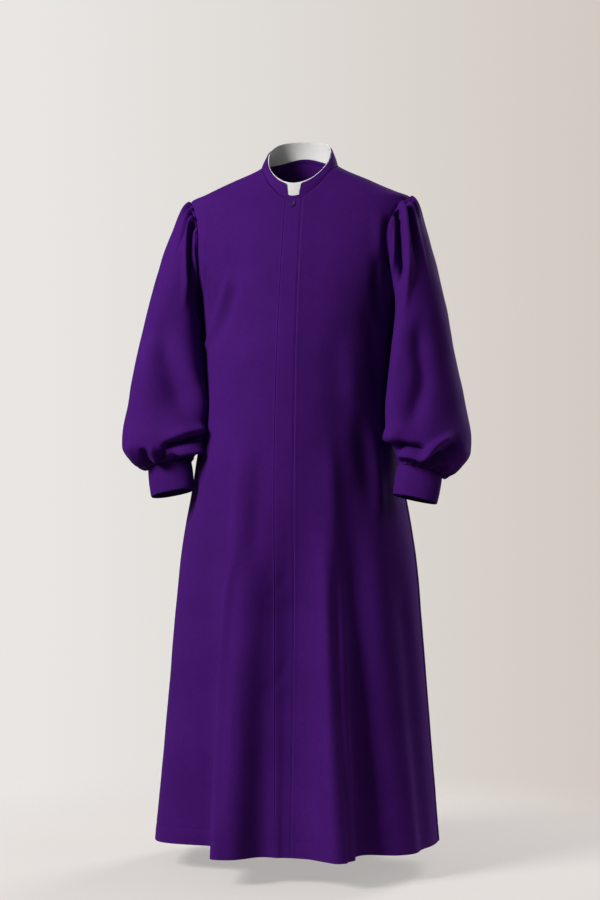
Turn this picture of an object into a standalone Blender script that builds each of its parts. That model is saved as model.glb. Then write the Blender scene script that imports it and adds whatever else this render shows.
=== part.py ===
"""A clergy robe, as it hangs when it is worn, with nobody in it.

The robe faces -Y and stands along Z, with the wearer's left side at +X. The origin lies
between the shoulders, level with the points where the shoulder seams meet the collar.
The panels are read from one body shape, a stack of rounded sections, so their seams meet.
Lengths are in metres and turns in degrees: 0 at the centre front, 90 at the +X side seam,
180 at the centre back and -90 or 270 at the -X side seam.
"""

from typing import NamedTuple

import bmesh
import bpy
import numpy as np

# Thickness of each cloth, and the gap kept at a seam
CLOTH = 0.0016
STIFF_CLOTH = 0.0024
COLLAR_LINEN = 0.0012
SEAM_GAP = 0.0003

# Levels of the body
HEM = -1.405
UNDERARM = -0.285
SHOULDER_TIP = -0.070

# Neck seam, seen from above
NECK_HALF_WIDTH = 0.0805
NECK_FRONT = 0.0835
NECK_BACK = 0.062
NECK_LOWEST = -0.130
NECK_HIGHEST = 0.025

# Armhole, seen from the side; the wearer's right one hangs narrower
LEFT_ARMHOLE_HALF_DEPTH = 0.070
RIGHT_ARMHOLE_HALF_DEPTH = 0.059
ARMHOLE_MIDDLE = (UNDERARM + SHOULDER_TIP) / 2
ARMHOLE_HALF_HEIGHT = (SHOULDER_TIP - UNDERARM) / 2

# Front closing: the placket lies on the wearer's right front and hides its edge
PLACKET_HALF_WIDTH = 0.021
UNDERLAP = 0.018
PLACKET_LIFT = SEAM_GAP + CLOTH
LIFT_ENDS = 0.060
PLACKET_NARROWS = ((-0.55, -0.08), (1.0, 0.88))

# The skirt hangs a little towards the wearer's right at its sides
SIDE_SWAY = ((-1.405, -0.70, -0.45), (0.005, 0.004, 0.0))

# Small steps, in degrees and metres, that give the body's normals
BODY_STEPS = (0.5, 0.002)

# Grid of a quarter of the body
NECK_COLUMNS = 8
SHOULDER_COLUMNS = 8
LOWER_ROWS = 15
UPPER_ROWS = 10


class BodySection(NamedTuple):
    height: float
    half_width: float
    front: float
    back: float
    squareness: float


BODY = (
    BodySection(HEM, 0.2965, 0.245, 0.215, 2.00),
    BodySection(-1.077, 0.2690, 0.218, 0.188, 2.08),
    BodySection(-0.825, 0.2480, 0.204, 0.165, 2.12),
    BodySection(-0.640, 0.2165, 0.197, 0.144, 2.15),
    BodySection(-0.500, 0.1990, 0.185, 0.131, 2.20),
    BodySection(-0.400, 0.1960, 0.173, 0.128, 2.20),
    BodySection(UNDERARM, 0.2060, 0.148, 0.124, 2.20),
    BodySection(-0.235, 0.2180, 0.135, 0.120, 2.20),
    BodySection(-0.175, 0.2320, 0.117, 0.113, 2.20),
    BodySection(-0.110, 0.2380, 0.096, 0.100, 2.15),
    BodySection(-0.085, 0.2370, 0.086, 0.094, 2.10),
    BodySection(SHOULDER_TIP, 0.2330, 0.080, 0.090, 2.10),
    BodySection(-0.055, 0.2004, 0.073, 0.086, 2.08),
    BodySection(-0.035, 0.1568, 0.062, 0.080, 2.05),
    BodySection(0.000, NECK_HALF_WIDTH, 0.045, 0.070, 2.00),
    BodySection(0.020, 0.0620, 0.030, 0.062, 2.00),
    BodySection(0.035, 0.0480, 0.020, 0.055, 2.00),
)


class Fold(NamedTuple):
    """A soft ridge of the skirt, or a trough where its rise is negative."""

    turn: float
    lean_per_metre: float
    top: float
    rise: float
    width_before: float
    width_after: float


FOLDS = (
    Fold(-68, 0, -0.85, 0.008, 20, 16),
    Fold(-39, 0, -0.68, -0.056, 28, 16),
    Fold(-20, 4, -0.56, 0.040, 12, 14),
    Fold(-8, 0, -0.90, -0.010, 8, 8),
    Fold(25, -2, -0.56, 0.042, 16, 9),
    Fold(38, -4, -0.80, -0.018, 9, 14),
    Fold(58, 0, -0.85, 0.014, 12, 14),
    Fold(117, 3, -0.62, 0.017, 14, 14),
    Fold(133, 3, -0.80, -0.022, 10, 11),
    Fold(150, 4, -0.50, 0.036, 13, 12),
    Fold(171, 0, -0.74, -0.026, 12, 10),
    Fold(190, -3, -0.46, 0.034, 11, 14),
    Fold(211, -3, -0.82, -0.018, 10, 11),
    Fold(229, -4, -0.56, 0.032, 12, 12),
    Fold(251, -2, -0.90, 0.016, 11, 12),
)
FOLD_GROWTH = 1.25


class SleeveRing(NamedTuple):
    """A ring of the sleeve: its point nearest the body, its outermost point and its depth."""

    inner_x: float
    inner_z: float
    outer_x: float
    outer_z: float
    middle_y: float
    half_depth: float
    front_rise: float


SLEEVE = (
    SleeveRing(0.2045, -0.3350, 0.3120, -0.3000, -0.010, 0.088, 0.0),
    SleeveRing(0.2025, -0.4150, 0.3360, -0.4000, -0.016, 0.098, 0.0),
    SleeveRing(0.2060, -0.4900, 0.3540, -0.4950, -0.028, 0.105, 0.0),
    SleeveRing(0.2125, -0.5450, 0.3635, -0.5600, -0.044, 0.107, 0.0),
    SleeveRing(0.2160, -0.5780, 0.3615, -0.5920, -0.058, 0.100, 0.002),
    SleeveRing(0.2185, -0.6000, 0.3470, -0.6150, -0.070, 0.078, 0.003),
    SleeveRing(0.2190, -0.6120, 0.3280, -0.6280, -0.079, 0.052, 0.005),
    SleeveRing(0.2180, -0.6195, 0.3085, -0.6390, -0.085, 0.033, 0.006),
)
CUFF_BOTTOM = SleeveRing(0.2090, -0.6800, 0.2990, -0.6980, -0.097, 0.031, 0.006)

# The wearer's left sleeve hangs a little lower, and the right cuff a little nearer the body
LEFT_SLEEVE_DROP = 0.005
SLEEVE_DROP_LENGTH = 0.4
RIGHT_CUFF_INWARD = 0.003
RIGHT_CUFF_LEVELS = (-0.533, -0.640)
SLEEVE_SQUARENESS = 2.3

# How far the outer side of each sleeve stands beyond SLEEVE, and how far its front swings in
# towards the body, by row
SPREAD_ROWS = (0, 0.15, 0.5, 1, 2, 3, 4, 5, 6, 7, 8)
SPREAD_LEFT = (0, -0.013, -0.006, -0.003, -0.008, -0.007, -0.005, -0.006, -0.008, -0.006, 0)
SPREAD_RIGHT = (0, 0.002, 0.006, 0.009, 0.008, 0.002, -0.003, -0.005, -0.008, -0.006, 0)
SWING_LEFT = (0, 0.001, 0.006, 0.016, 0.030, 0.036, 0.030, 0.018, 0.006, 0, 0)
SWING_RIGHT = (0, 0.001, 0.006, 0.013, 0.014, 0.010, 0.006, 0.003, 0.001, 0, 0)
SPREAD_STARTS = 0.225
SPREAD_WIDTH = 0.07

# Points round a sleeve: the cap has four for each gather, and the underarm has few
ROUND = 56
CAP_START = 4
CAP_END = 52
CAP_START_ANGLE = 72.0
POINTS_PER_GATHER = 4
CAP_GATHER_DEPTH = 0.0048
CUFF_GATHER_DEPTH = 0.0052
CAP_GATHERS_BY_ROW = ((0, 0.16, 0.30, 0.75, 1), (0.0002, 0.8, 1, 0.25, 0))
CUFF_GATHERS_BY_ROW = ((3, 4.5, 5.6, 7, 8), (0, 0.45, 1, 0.8, 0.2))

# How strongly the cap leaves the armhole and runs into the sleeve, at the underarm and at the
# shoulder, and how far it turns to the front and downward as it leaves
CAP_LEAVES = (0.02, 0.08)
CAP_ARRIVES = (0.04, 0.20)
CAP_TURNS_FORWARD = 0.55
CAP_TURNS_DOWN = 0.45

# Rows down a sleeve: 0 at the armhole, 1 at the first ring of SLEEVE and 8 at the cuff
CAP_ROWS = (0, 0.07, 0.16, 0.28, 0.44, 0.64)
MIDDLE_ROWS = (0.84, 1.1, 1.6, 2.2, 3.0)
CUFF_ROWS = (3.5, 4.0, 4.5, 5.0, 5.5, 6.0, 7.0, 8.0)
LAST_ROW = 8

# Standing collar, and the white band inside it
COLLAR_TOP_HALF_WIDTH = 0.069
COLLAR_TOP_FRONT = 0.0765
COLLAR_TOP_BACK = 0.056
COLLAR_TOP_LEVEL = 0.027
COLLAR_TOP_SLOPE = 0.70
COLLAR_TOP_CURVE = 3.17
COLLAR_BOW = 0.0012
COLLAR_LEVELS = (0, 0.26, 0.62, 1)
NOTCH_LEVEL = 0.26
NOTCH_BOTTOM = 0.012
NOTCH_TOP = 0.0145
BAND_LEVELS = (0.12, 0.55, 1.08)

# Top button
BUTTON_HEIGHT = -0.0885
BUTTON_RADIUS = 0.006
BUTTON_THICKNESS = 0.0022
BUTTON_SIDES = 20

PURPLE = (0.055, 0.012, 0.165, 1.0)
BUTTON_PURPLE = (0.040, 0.010, 0.120, 1.0)
WHITE = (0.86, 0.86, 0.84, 1.0)


def through(knots, values, at):
    """A smooth curve through the values, which never overshoots them, read at these places."""
    knots = np.asarray(knots, float)
    values = np.asarray(values, float)
    gap = np.diff(knots)
    slope = np.diff(values) / gap
    before, after = slope[:-1], slope[1:]
    same_way = before * after > 0
    total = np.where(same_way, before + after, 1.0)
    inner_tangent = np.where(same_way, 2 * before * after / total, 0.0)
    tangent = np.concatenate([slope[:1], inner_tangent, slope[-1:]])
    at = np.clip(at, knots[0], knots[-1])
    index = np.clip(np.searchsorted(knots, at, side="right") - 1, 0, len(gap) - 1)
    part = (at - knots[index]) / gap[index]
    rest = 1 - part
    return (
        values[index] * rest**2 * (1 + 2 * part)
        + values[index + 1] * part**2 * (3 - 2 * part)
        + gap[index] * part * rest * (rest * tangent[index] - part * tangent[index + 1])
    )


def unit(vectors):
    return vectors / np.linalg.norm(vectors, axis=-1, keepdims=True)


def smooth(share):
    share = np.clip(share, 0, 1)
    return share * share * (3 - 2 * share)


def section(height):
    """Half width, front depth, back depth and squareness of the body at these heights."""
    columns = np.array(BODY).T
    return [through(columns[0], column, height) for column in columns[1:]]


def figure(turn, height):
    """Points of the body shape before the folds."""
    half_width, front, back, squareness = section(height)
    sine = np.sin(np.radians(turn))
    cosine = np.cos(np.radians(turn))
    power = 2 / squareness
    x = half_width * np.sign(sine) * np.abs(sine) ** power
    x = x - through(*SIDE_SWAY, height) * sine**2
    y = np.where(cosine > 0, -front, back) * np.abs(cosine) ** power
    return np.stack([x, y, height], axis=-1)


def normals(surface, first, second, steps):
    """Unit normals of a surface with two parameters, from small differences."""
    along_first = surface(first + steps[0], second) - surface(first - steps[0], second)
    along_second = surface(first, second + steps[1]) - surface(first, second - steps[1])
    return unit(np.cross(along_first, along_second))


def fold_rise(turn, height):
    """How far the folds stand out from the body shape."""
    total = np.zeros(np.broadcast(turn, height).shape)
    for fold in FOLDS:
        away = turn - fold.turn - fold.lean_per_metre * (height - HEM)
        width = np.where(away < 0, fold.width_before, fold.width_after)
        shape = np.cos(np.pi / 2 * np.clip(away / width, -1, 1)) ** 2
        grown = np.clip((fold.top - height) / (fold.top - HEM), 0, 1) ** FOLD_GROWTH
        total += fold.rise * shape * grown
    return total


def robe(turn, height):
    """Points of the cloth's outer face, with its folds, which leave the hem level."""
    outward = normals(figure, turn, height, BODY_STEPS)
    outward = unit(outward * np.array([1.0, 1.0, 0.0]))
    return figure(turn, height) + fold_rise(turn, height)[..., None] * outward


def turn_at_x(x, height):
    """Degrees from the middle of the front or back to the place at this x."""
    half_width, _, _, squareness = section(height)
    share = np.clip(np.abs(x) / half_width, 0, 1)
    return np.sign(x) * np.degrees(np.arcsin(share ** (squareness / 2)))


def neck_seam(angle):
    """Points of the neck seam. The angle is seen from above, 0 at the front and 180 at the back."""
    cosine = np.cos(np.radians(angle))
    x = NECK_HALF_WIDTH * np.sin(np.radians(angle))
    y = -np.where(cosine > 0, NECK_FRONT, NECK_BACK) * cosine
    low = np.full(x.shape, NECK_LOWEST)
    high = np.full(x.shape, NECK_HIGHEST)
    for _ in range(40):
        middle = (low + high) / 2
        half_width, front, back, squareness = section(middle)
        depth = np.where(cosine > 0, front, back)
        reach = (np.abs(x) / half_width) ** squareness + (np.abs(y) / depth) ** squareness
        low = np.where(reach < 1, middle, low)
        high = np.where(reach < 1, high, middle)
    return np.stack([x, y, low], axis=-1)


def armhole(angle, side):
    """Points of an armhole, for +X: 0 at the underarm, 90 at the front, 180 at the shoulder tip."""
    sine = np.sin(np.radians(angle))
    y = -(LEFT_ARMHOLE_HALF_DEPTH if side > 0 else RIGHT_ARMHOLE_HALF_DEPTH) * sine
    z = ARMHOLE_MIDDLE - ARMHOLE_HALF_HEIGHT * np.cos(np.radians(angle))
    half_width, front, back, squareness = section(z)
    share = np.abs(y) / np.where(sine > 0, front, back)
    return np.stack([half_width * (1 - share**squareness) ** (1 / squareness), y, z], axis=-1)


def neck_angles(first):
    """Angles of the neck seam's points on a quarter, from the first one to the shoulder."""
    return np.linspace(first, 90, NECK_COLUMNS + 1)


def placket_x(x, height):
    """Where a line of the placket runs, since the placket narrows towards the neck."""
    return x * through(*PLACKET_NARROWS, height)


def first_neck_angle(x):
    """The angle at which a line of the placket reaches the neck seam."""
    return np.degrees(np.arcsin(x * PLACKET_NARROWS[1][-1] / NECK_HALF_WIDTH))


def global_turn(quarter_turn, is_front, side):
    return side * quarter_turn if is_front else 180 - side * quarter_turn


def column_shares(first, is_front, side):
    """Places of the columns between the first turn and the side seam, even along the folded hem."""
    turns = np.linspace(first, 90, 400)
    hem = robe(global_turn(turns, is_front, side), np.full(turns.shape, HEM))
    length = np.concatenate([[0], np.cumsum(np.linalg.norm(np.diff(hem, axis=0), axis=1))])
    wanted = np.linspace(0, length[-1], NECK_COLUMNS + SHOULDER_COLUMNS + 1)
    return (np.interp(wanted, length, turns) - first) / (90 - first)


def quarter_grid(is_front, side, edges):
    """Turns and heights of a quarter of the body, with rows from the hem to the neck and shoulder.

    The first columns keep the x values in edges, and the others spread out to the side seam.
    """
    edge = edges[-1]
    lower = np.linspace(HEM, UNDERARM, LOWER_ROWS + 1)
    shares = column_shares(float(turn_at_x(edge, HEM)), is_front, side)

    start = turn_at_x(placket_x(edge, lower), lower)[:, None]
    lower_turns = start + (90 - start) * shares
    lower_heights = np.repeat(lower[:, None], len(shares), axis=1)

    angles = neck_angles(first_neck_angle(edge))
    neck = neck_seam(angles if is_front else 180 - angles)
    tip = armhole(np.array([180.0]), side)[0]
    ridge_heights = np.linspace(0, SHOULDER_TIP, SHOULDER_COLUMNS + 1)[1:]
    ridge = figure(np.full(SHOULDER_COLUMNS, 90.0), ridge_heights)
    top = np.concatenate([neck, ridge])[:, [0, 2]]
    bottom = figure(lower_turns[-1], lower_heights[-1])[:, [0, 2]]
    step = np.linspace(0, 1, UPPER_ROWS + 1)[1:]
    sleeve_edge = armhole(180 * step if is_front else 360 - 180 * step, side)[:, [0, 2]]
    rise = (1 - (1 - step) ** 2)[:, None]
    pull = sleeve_edge - (1 - rise) * bottom[-1] - rise * tip[[0, 2]]
    upper = (
        (1 - rise[..., None]) * bottom
        + rise[..., None] * top
        + (shares**2)[None, :, None] * pull[:, None, :]
    )
    upper_turns = turn_at_x(upper[..., 0], upper[..., 1])
    upper_turns[-1, NECK_COLUMNS:] = 90
    turns = np.concatenate([lower_turns, upper_turns])
    heights = np.concatenate([lower_heights, upper[..., 1]])

    for x in reversed(edges[:-1]):
        neck_height = neck_seam(np.array([first_neck_angle(x)]))[0, 2]
        column = np.concatenate([lower, UNDERARM + (neck_height - UNDERARM) * rise[:, 0]])
        heights = np.column_stack([column, heights])
        turns = np.column_stack([turn_at_x(placket_x(x, column), column), turns])
    return global_turn(turns, is_front, side), heights


def split_quads(quads, points):
    """Two triangles for each quad, cut along its shorter diagonal."""
    a, b, c, d = np.asarray(quads).T
    cut_ac = np.linalg.norm(points[a] - points[c], axis=1)
    cut_bd = np.linalg.norm(points[b] - points[d], axis=1)
    short = (cut_ac <= cut_bd)[:, None]
    first = np.where(short, np.stack([a, b, c], axis=1), np.stack([a, b, d], axis=1))
    second = np.where(short, np.stack([a, c, d], axis=1), np.stack([b, c, d], axis=1))
    return np.concatenate([first, second])


def grid_quads(rows, columns, closed=False, is_kept=None):
    """Corners of the cells of a grid, whose last column meets its first where it is closed."""
    quads = []
    for row in range(rows - 1):
        for column in range(columns if closed else columns - 1):
            after = (column + 1) % columns
            if is_kept is None or is_kept(row, column):
                here, above = row * columns, (row + 1) * columns
                quads.append((here + column, here + after, above + after, above + column))
    return quads


def material(name, colour, roughness):
    made = bpy.data.materials.get(name)
    if made is None:
        made = bpy.data.materials.new(name)
        made.use_nodes = True
        shader = made.node_tree.nodes["Principled BSDF"]
        shader.inputs["Base Color"].default_value = colour
        shader.inputs["Roughness"].default_value = roughness
        shader.inputs["Metallic"].default_value = 0.0
    return made


def purple_cloth():
    return material("purple_cloth", PURPLE, 0.85)


def add_object(name, points, faces, finish):
    mesh = bpy.data.meshes.new(name)
    mesh.from_pydata([tuple(point) for point in points], [], [tuple(face) for face in faces])
    solid = bmesh.new()
    solid.from_mesh(mesh)
    bmesh.ops.recalc_face_normals(solid, faces=solid.faces)
    if solid.calc_volume(signed=True) < 0:
        bmesh.ops.reverse_faces(solid, faces=solid.faces)
    solid.to_mesh(mesh)
    solid.free()
    mesh.shade_smooth()
    mesh.set_sharp_from_angle(angle=np.radians(50))
    mesh.materials.append(finish)
    made = bpy.data.objects.new(name, mesh)
    bpy.context.scene.collection.objects.link(made)
    return made


def add_wall(name, outer, inner, triangles, finish):
    """A closed wall between two faces of cloth, with a rim along every open edge."""
    count = len(outer)
    edges = np.concatenate([triangles[:, [0, 1]], triangles[:, [1, 2]], triangles[:, [2, 0]]])
    present = {(int(a), int(b)) for a, b in edges}
    faces = [tuple(map(int, triangle)) for triangle in triangles]
    faces += [(c + count, b + count, a + count) for a, b, c in faces]
    for a, b in sorted(present):
        if (b, a) not in present:
            faces += [(b, a, a + count), (b, a + count, b + count)]
    return add_object(name, np.concatenate([outer, inner]), faces, finish)


def add_panel(name, turns, heights, seam_shift, lift=0.0):
    """A panel of the robe on its grid. The shift, along Y, opens the gap at its seams."""
    outward = normals(robe, turns, heights, BODY_STEPS)
    outer = robe(turns, heights) + np.asarray(lift)[..., None] * outward
    outer = outer + seam_shift
    inner = outer - CLOTH * outward
    rows, columns = turns.shape
    outer, inner = outer.reshape(-1, 3), inner.reshape(-1, 3)
    triangles = split_quads(grid_quads(rows, columns), outer)
    return add_wall(name, outer, inner, triangles, purple_cloth())


def seam_shift(shape, seam_columns, way):
    """Half the seam gap along Y on the side seam and on the shoulder seam."""
    shift = np.zeros(shape + (3,))
    shoulder_start = shape[1] - SHOULDER_COLUMNS - 1
    shift[:, seam_columns, 1] = way * SEAM_GAP / 2
    shift[-1, shoulder_start:, 1] = way * SEAM_GAP / 2
    return shift


def add_fronts():
    """The two fronts, and the placket that lies on the wearer's right one."""
    edges = (-PLACKET_HALF_WIDTH, -UNDERLAP, 0.0, PLACKET_HALF_WIDTH)
    turns, heights = quarter_grid(True, -1, edges)
    front_turns, front_heights = turns[:, 1:], heights[:, 1:]
    shift = seam_shift(front_turns.shape, -1, -1)
    add_panel("front_right", front_turns, front_heights, shift)
    strip_turns, strip_heights = turns[:, : len(edges)], heights[:, : len(edges)]
    flat = np.zeros(strip_turns.shape + (3,))
    add_panel("placket", strip_turns, strip_heights, flat, np.full(strip_turns.shape, PLACKET_LIFT))

    turns, heights = quarter_grid(True, 1, (PLACKET_HALF_WIDTH + SEAM_GAP,))
    away = figure(turns, heights)[..., 0] - placket_x(PLACKET_HALF_WIDTH, heights)
    lift = PLACKET_LIFT * (1 - smooth(away / (LIFT_ENDS - PLACKET_HALF_WIDTH)))
    shift = seam_shift(turns.shape, -1, -1)
    add_panel("front_left", turns, heights, shift, lift)


def add_back():
    """The back, made of two quarters that share the column at the centre back."""
    left_turns, left_heights = quarter_grid(False, 1, (0.0,))
    right_turns, right_heights = quarter_grid(False, -1, (0.0,))
    left_shift = seam_shift(left_turns.shape, -1, 1)
    right_shift = seam_shift(right_turns.shape, -1, 1)
    turns = np.concatenate([left_turns[:, ::-1], right_turns[:, 1:]], axis=1)
    heights = np.concatenate([left_heights[:, ::-1], right_heights[:, 1:]], axis=1)
    shift = np.concatenate([left_shift[:, ::-1], right_shift[:, 1:]], axis=1)
    add_panel("back", turns, heights, shift)


def ring_points(rings, row, angle):
    """Points of the tube through these rings: 0 nearest the body, 90 at the front, 180 outermost."""
    table = np.array(rings).T
    places = np.arange(len(rings))
    inner_x, inner_z, outer_x, outer_z, middle_y, half_depth, rise = [
        through(places, column, row) for column in table
    ]
    cosine = np.cos(np.radians(angle))
    sine = np.sin(np.radians(angle))
    cosine = np.sign(cosine) * np.abs(cosine) ** (2 / SLEEVE_SQUARENESS)
    sine = np.sign(sine) * np.abs(sine) ** (2 / SLEEVE_SQUARENESS)
    x = (inner_x + outer_x) / 2 - (outer_x - inner_x) / 2 * cosine
    z = (inner_z + outer_z) / 2 - (outer_z - inner_z) / 2 * cosine + rise * sine
    return np.stack([x, middle_y - half_depth * sine, z], axis=-1)


def cap_angle(index):
    """Angle round the armhole of each point of a ring."""
    places = (0, CAP_START, CAP_END, ROUND)
    return np.interp(index, places, (0, CAP_START_ANGLE, 360 - CAP_START_ANGLE, 360))


def leaving(angle):
    """Unit direction in which the sleeve's cloth leaves the armhole."""
    sine = np.sin(np.radians(angle))
    cosine = np.cos(np.radians(angle))
    ahead = [np.ones_like(sine), -CAP_TURNS_FORWARD * sine, -CAP_TURNS_DOWN * cosine]
    return unit(np.stack(ahead, axis=-1))


def sleeve_start(angle, side):
    """The sleeve's edge, a seam gap away from the armhole's own straight stretches."""
    step = 180 / UPPER_ROWS
    below = np.floor(angle / step + 1e-9) * step
    part = ((angle - below) / step)[..., None]
    on_edge = (1 - part) * armhole(below, side) + part * armhole(below + step, side)
    outward = body_normal_at_armhole(angle, side)
    around = unit(armhole(angle + 1, side) - armhole(angle - 1, side))
    into_hole = np.cross(around, outward)
    weight = ((1 + np.cos(np.radians(angle))) / 2)[..., None]
    return on_edge + SEAM_GAP * unit((1 - weight) * into_hole + weight * outward)


def body_normal_at_armhole(angle, side):
    place = armhole(angle, side)
    quarter = turn_at_x(place[..., 0], place[..., 2])
    turn = np.where(np.sin(np.radians(angle)) >= 0, quarter, 180 - quarter)
    return normals(figure, turn, place[..., 2], BODY_STEPS)


def sleeve_base(index, row, side):
    """A sleeve before its gathers, drawn on the +X side."""
    index = index % ROUND
    even = 360 * index / ROUND
    tube_row = np.clip(row - 1, 0, LAST_ROW - 1)
    angle = cap_angle(index) + (even - cap_angle(index)) * smooth(tube_row / 3)
    tube = ring_points(SLEEVE, tube_row, angle)
    tube = tube + (row - 1 - tube_row)[..., None] * 0.02 * np.array([0.0, 0.0, -1.0])

    start_angle = cap_angle(index)
    outer_share = (1 - np.cos(np.radians(start_angle))) / 2
    start = sleeve_start(start_angle, side)
    end = ring_points(SLEEVE, np.zeros_like(index), start_angle)
    downward = unit(ring_points(SLEEVE, np.full_like(index, 0.2), start_angle) - end)
    first_tangent = leaving(start_angle) * np.interp(outer_share, (0, 1), CAP_LEAVES)[..., None]
    last_tangent = downward * np.interp(outer_share, (0, 1), CAP_ARRIVES)[..., None]
    part = np.clip(row, -0.1, 1)[..., None]
    rest = 1 - part
    cap = (
        start * rest**2 * (1 + 2 * part)
        + end * part**2 * (3 - 2 * part)
        + part * rest * (rest * first_tangent - part * last_tangent)
    )
    points = np.where((row < 1)[..., None], cap, tube)
    spread = through(SPREAD_ROWS, SPREAD_LEFT if side > 0 else SPREAD_RIGHT, row)
    swing = through(SPREAD_ROWS, SWING_LEFT if side > 0 else SWING_RIGHT, row)
    outer_share = smooth((points[..., 0] - SPREAD_STARTS) / SPREAD_WIDTH)
    front_share = np.clip(np.sin(np.radians(angle)), 0, 1) ** 2
    points[..., 0] += spread * outer_share - swing * front_share
    return points


def gather_wave(index, row):
    """How far the gathers stand out, at the cap and above the cuff."""
    wave = -np.cos(2 * np.pi * (index - CAP_START) / POINTS_PER_GATHER)
    top_share = smooth(np.sin(np.pi * np.clip((index - CAP_START) / (CAP_END - CAP_START), 0, 1)))
    cap_depth = through(*CAP_GATHERS_BY_ROW, row)
    cuff_depth = through(*CUFF_GATHERS_BY_ROW, row)
    wave_at_cap = np.where(row < 0.01, (wave + 1) / 2, wave)
    wave_at_cuff = np.where(row > LAST_ROW - 0.01, (wave + 1) / 2, wave)
    return (
        CAP_GATHER_DEPTH * top_share * cap_depth * np.where(row < 1, wave_at_cap, 0)
        + CUFF_GATHER_DEPTH * cuff_depth * wave_at_cuff
    )


def place_on_side(points, side):
    """Mirrors a +X piece to its own side, and lets the wearer's left arm hang a little lower."""
    depth = smooth((SHOULDER_TIP - points[:, 2]) / SLEEVE_DROP_LENGTH)
    moved = points.copy()
    if side < 0:
        start, end = RIGHT_CUFF_LEVELS
        moved[:, 0] -= RIGHT_CUFF_INWARD * smooth((points[:, 2] - start) / (end - start))
    moved[:, 2] -= side * LEFT_SLEEVE_DROP * depth
    moved[:, 0] *= side
    return moved


def sleeve_rings():
    """The rows of a sleeve with the number of points in each, half as many in its plain middle."""
    fine = [(row, ROUND) for row in CAP_ROWS]
    plain = [(row, ROUND // 2) for row in MIDDLE_ROWS]
    return fine + plain + [(row, ROUND) for row in CUFF_ROWS]


def ring_faces(counts):
    """Quads between rings of equal counts, and triangles where one has twice the other's points."""
    starts = np.concatenate([[0], np.cumsum(counts)])
    quads, triangles = [], []
    for ring, (count, next_count) in enumerate(zip(counts[:-1], counts[1:])):
        here, below = int(starts[ring]), int(starts[ring + 1])
        if count == next_count:
            for k in range(count):
                after = (k + 1) % count
                quads.append((here + k, here + after, below + after, below + k))
            continue
        fine, coarse, turned = (here, below, False) if count > next_count else (below, here, True)
        fewer = min(count, next_count)
        for k in range(fewer):
            left, middle, right = fine + 2 * k, fine + 2 * k + 1, fine + (2 * k + 2) % (2 * fewer)
            near, far = coarse + k, coarse + (k + 1) % fewer
            for face in ((left, middle, near), (middle, far, near), (middle, right, far)):
                triangles.append(face[::-1] if turned else face)
    return quads, triangles


def add_sleeve(name, side):
    """A full sleeve, gathered into the armhole and into the cuff."""
    rings = sleeve_rings()
    index = np.concatenate([np.arange(count) * (ROUND // count) for _, count in rings]).astype(float)
    row = np.concatenate([np.full(count, float(row)) for row, count in rings])

    def surface(index, row):
        return sleeve_base(index, row, side)

    outward = -normals(surface, index, row, (0.25, 0.02))
    base = surface(index, row)
    base[:, 2] += SEAM_GAP * (row > LAST_ROW - 0.01)
    outer = base + gather_wave(index, row)[:, None] * outward
    inner = outer - CLOTH * outward
    quads, triangles = ring_faces([count for _, count in rings])
    faces = np.concatenate([split_quads(quads, outer), np.array(triangles)])
    outer, inner = place_on_side(outer, side), place_on_side(inner, side)
    add_wall(name, outer, inner, faces, purple_cloth())


def add_cuff(name, side):
    """A plain straight cuff."""
    count = ROUND // 2
    angle = np.tile(np.arange(count) * 360 / count, 2)
    row = np.repeat([0.0, 1.0], count)

    def band(angle, row):
        return ring_points((SLEEVE[-1], CUFF_BOTTOM), row, angle)

    outer = band(angle, row)
    along = band(angle, np.ones_like(row)) - band(angle, np.zeros_like(row))
    around = band(angle + 1, row) - band(angle - 1, row)
    inner = outer - STIFF_CLOTH * unit(np.cross(along, around))
    triangles = split_quads(grid_quads(2, count, closed=True), outer)
    outer, inner = place_on_side(outer, side), place_on_side(inner, side)
    add_wall(name, outer, inner, triangles, purple_cloth())


def collar_angles(level):
    """Angles of the collar's columns at a level: the notch's sides, then those of the neck seam."""
    notch_half = np.interp(level, (NOTCH_LEVEL, 1), (NOTCH_BOTTOM, NOTCH_TOP))
    half_width = NECK_HALF_WIDTH + (COLLAR_TOP_HALF_WIDTH - NECK_HALF_WIDTH) * level
    notch = np.degrees(np.arcsin(notch_half / half_width))
    front = neck_angles(first_neck_angle(PLACKET_HALF_WIDTH))
    back = 180 - neck_angles(0.0)[::-1][1:]
    half = np.concatenate([[notch], front, back])
    return np.concatenate([[0], half, 360 - half[:-1][::-1]])


def neck_edge(angle):
    """The neck seam as the panels cut it, in straight stretches between their points."""
    front = neck_angles(first_neck_angle(PLACKET_HALF_WIDTH))
    back = 180 - neck_angles(0.0)[::-1][1:]
    half = np.concatenate([[0], front, back])
    samples = np.concatenate([half, 360 - half[:-1][::-1]])
    points = neck_seam(samples)
    return np.stack([np.interp(angle % 360, samples, column) for column in points.T], axis=-1)


def collar_face(angle, level):
    """The outer face of the collar, from the neck seam at level 0 to its top at level 1."""
    base = neck_edge(angle) + np.array([0.0, 0.0, SEAM_GAP])
    cosine = np.cos(np.radians(angle))
    top_x = COLLAR_TOP_HALF_WIDTH * np.sin(np.radians(angle))
    top_y = -np.where(cosine > 0, COLLAR_TOP_FRONT, COLLAR_TOP_BACK) * cosine
    top_z = COLLAR_TOP_LEVEL + COLLAR_TOP_SLOPE * top_y - COLLAR_TOP_CURVE * top_y**2
    top = np.stack([top_x, top_y, top_z], axis=-1)
    away = unit(np.stack([np.sin(np.radians(angle)), -cosine, np.zeros_like(cosine)], axis=-1))
    level = np.asarray(level, float)[..., None]
    return base * (1 - level) + top * level + COLLAR_BOW * np.sin(np.pi * level) * away


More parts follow.
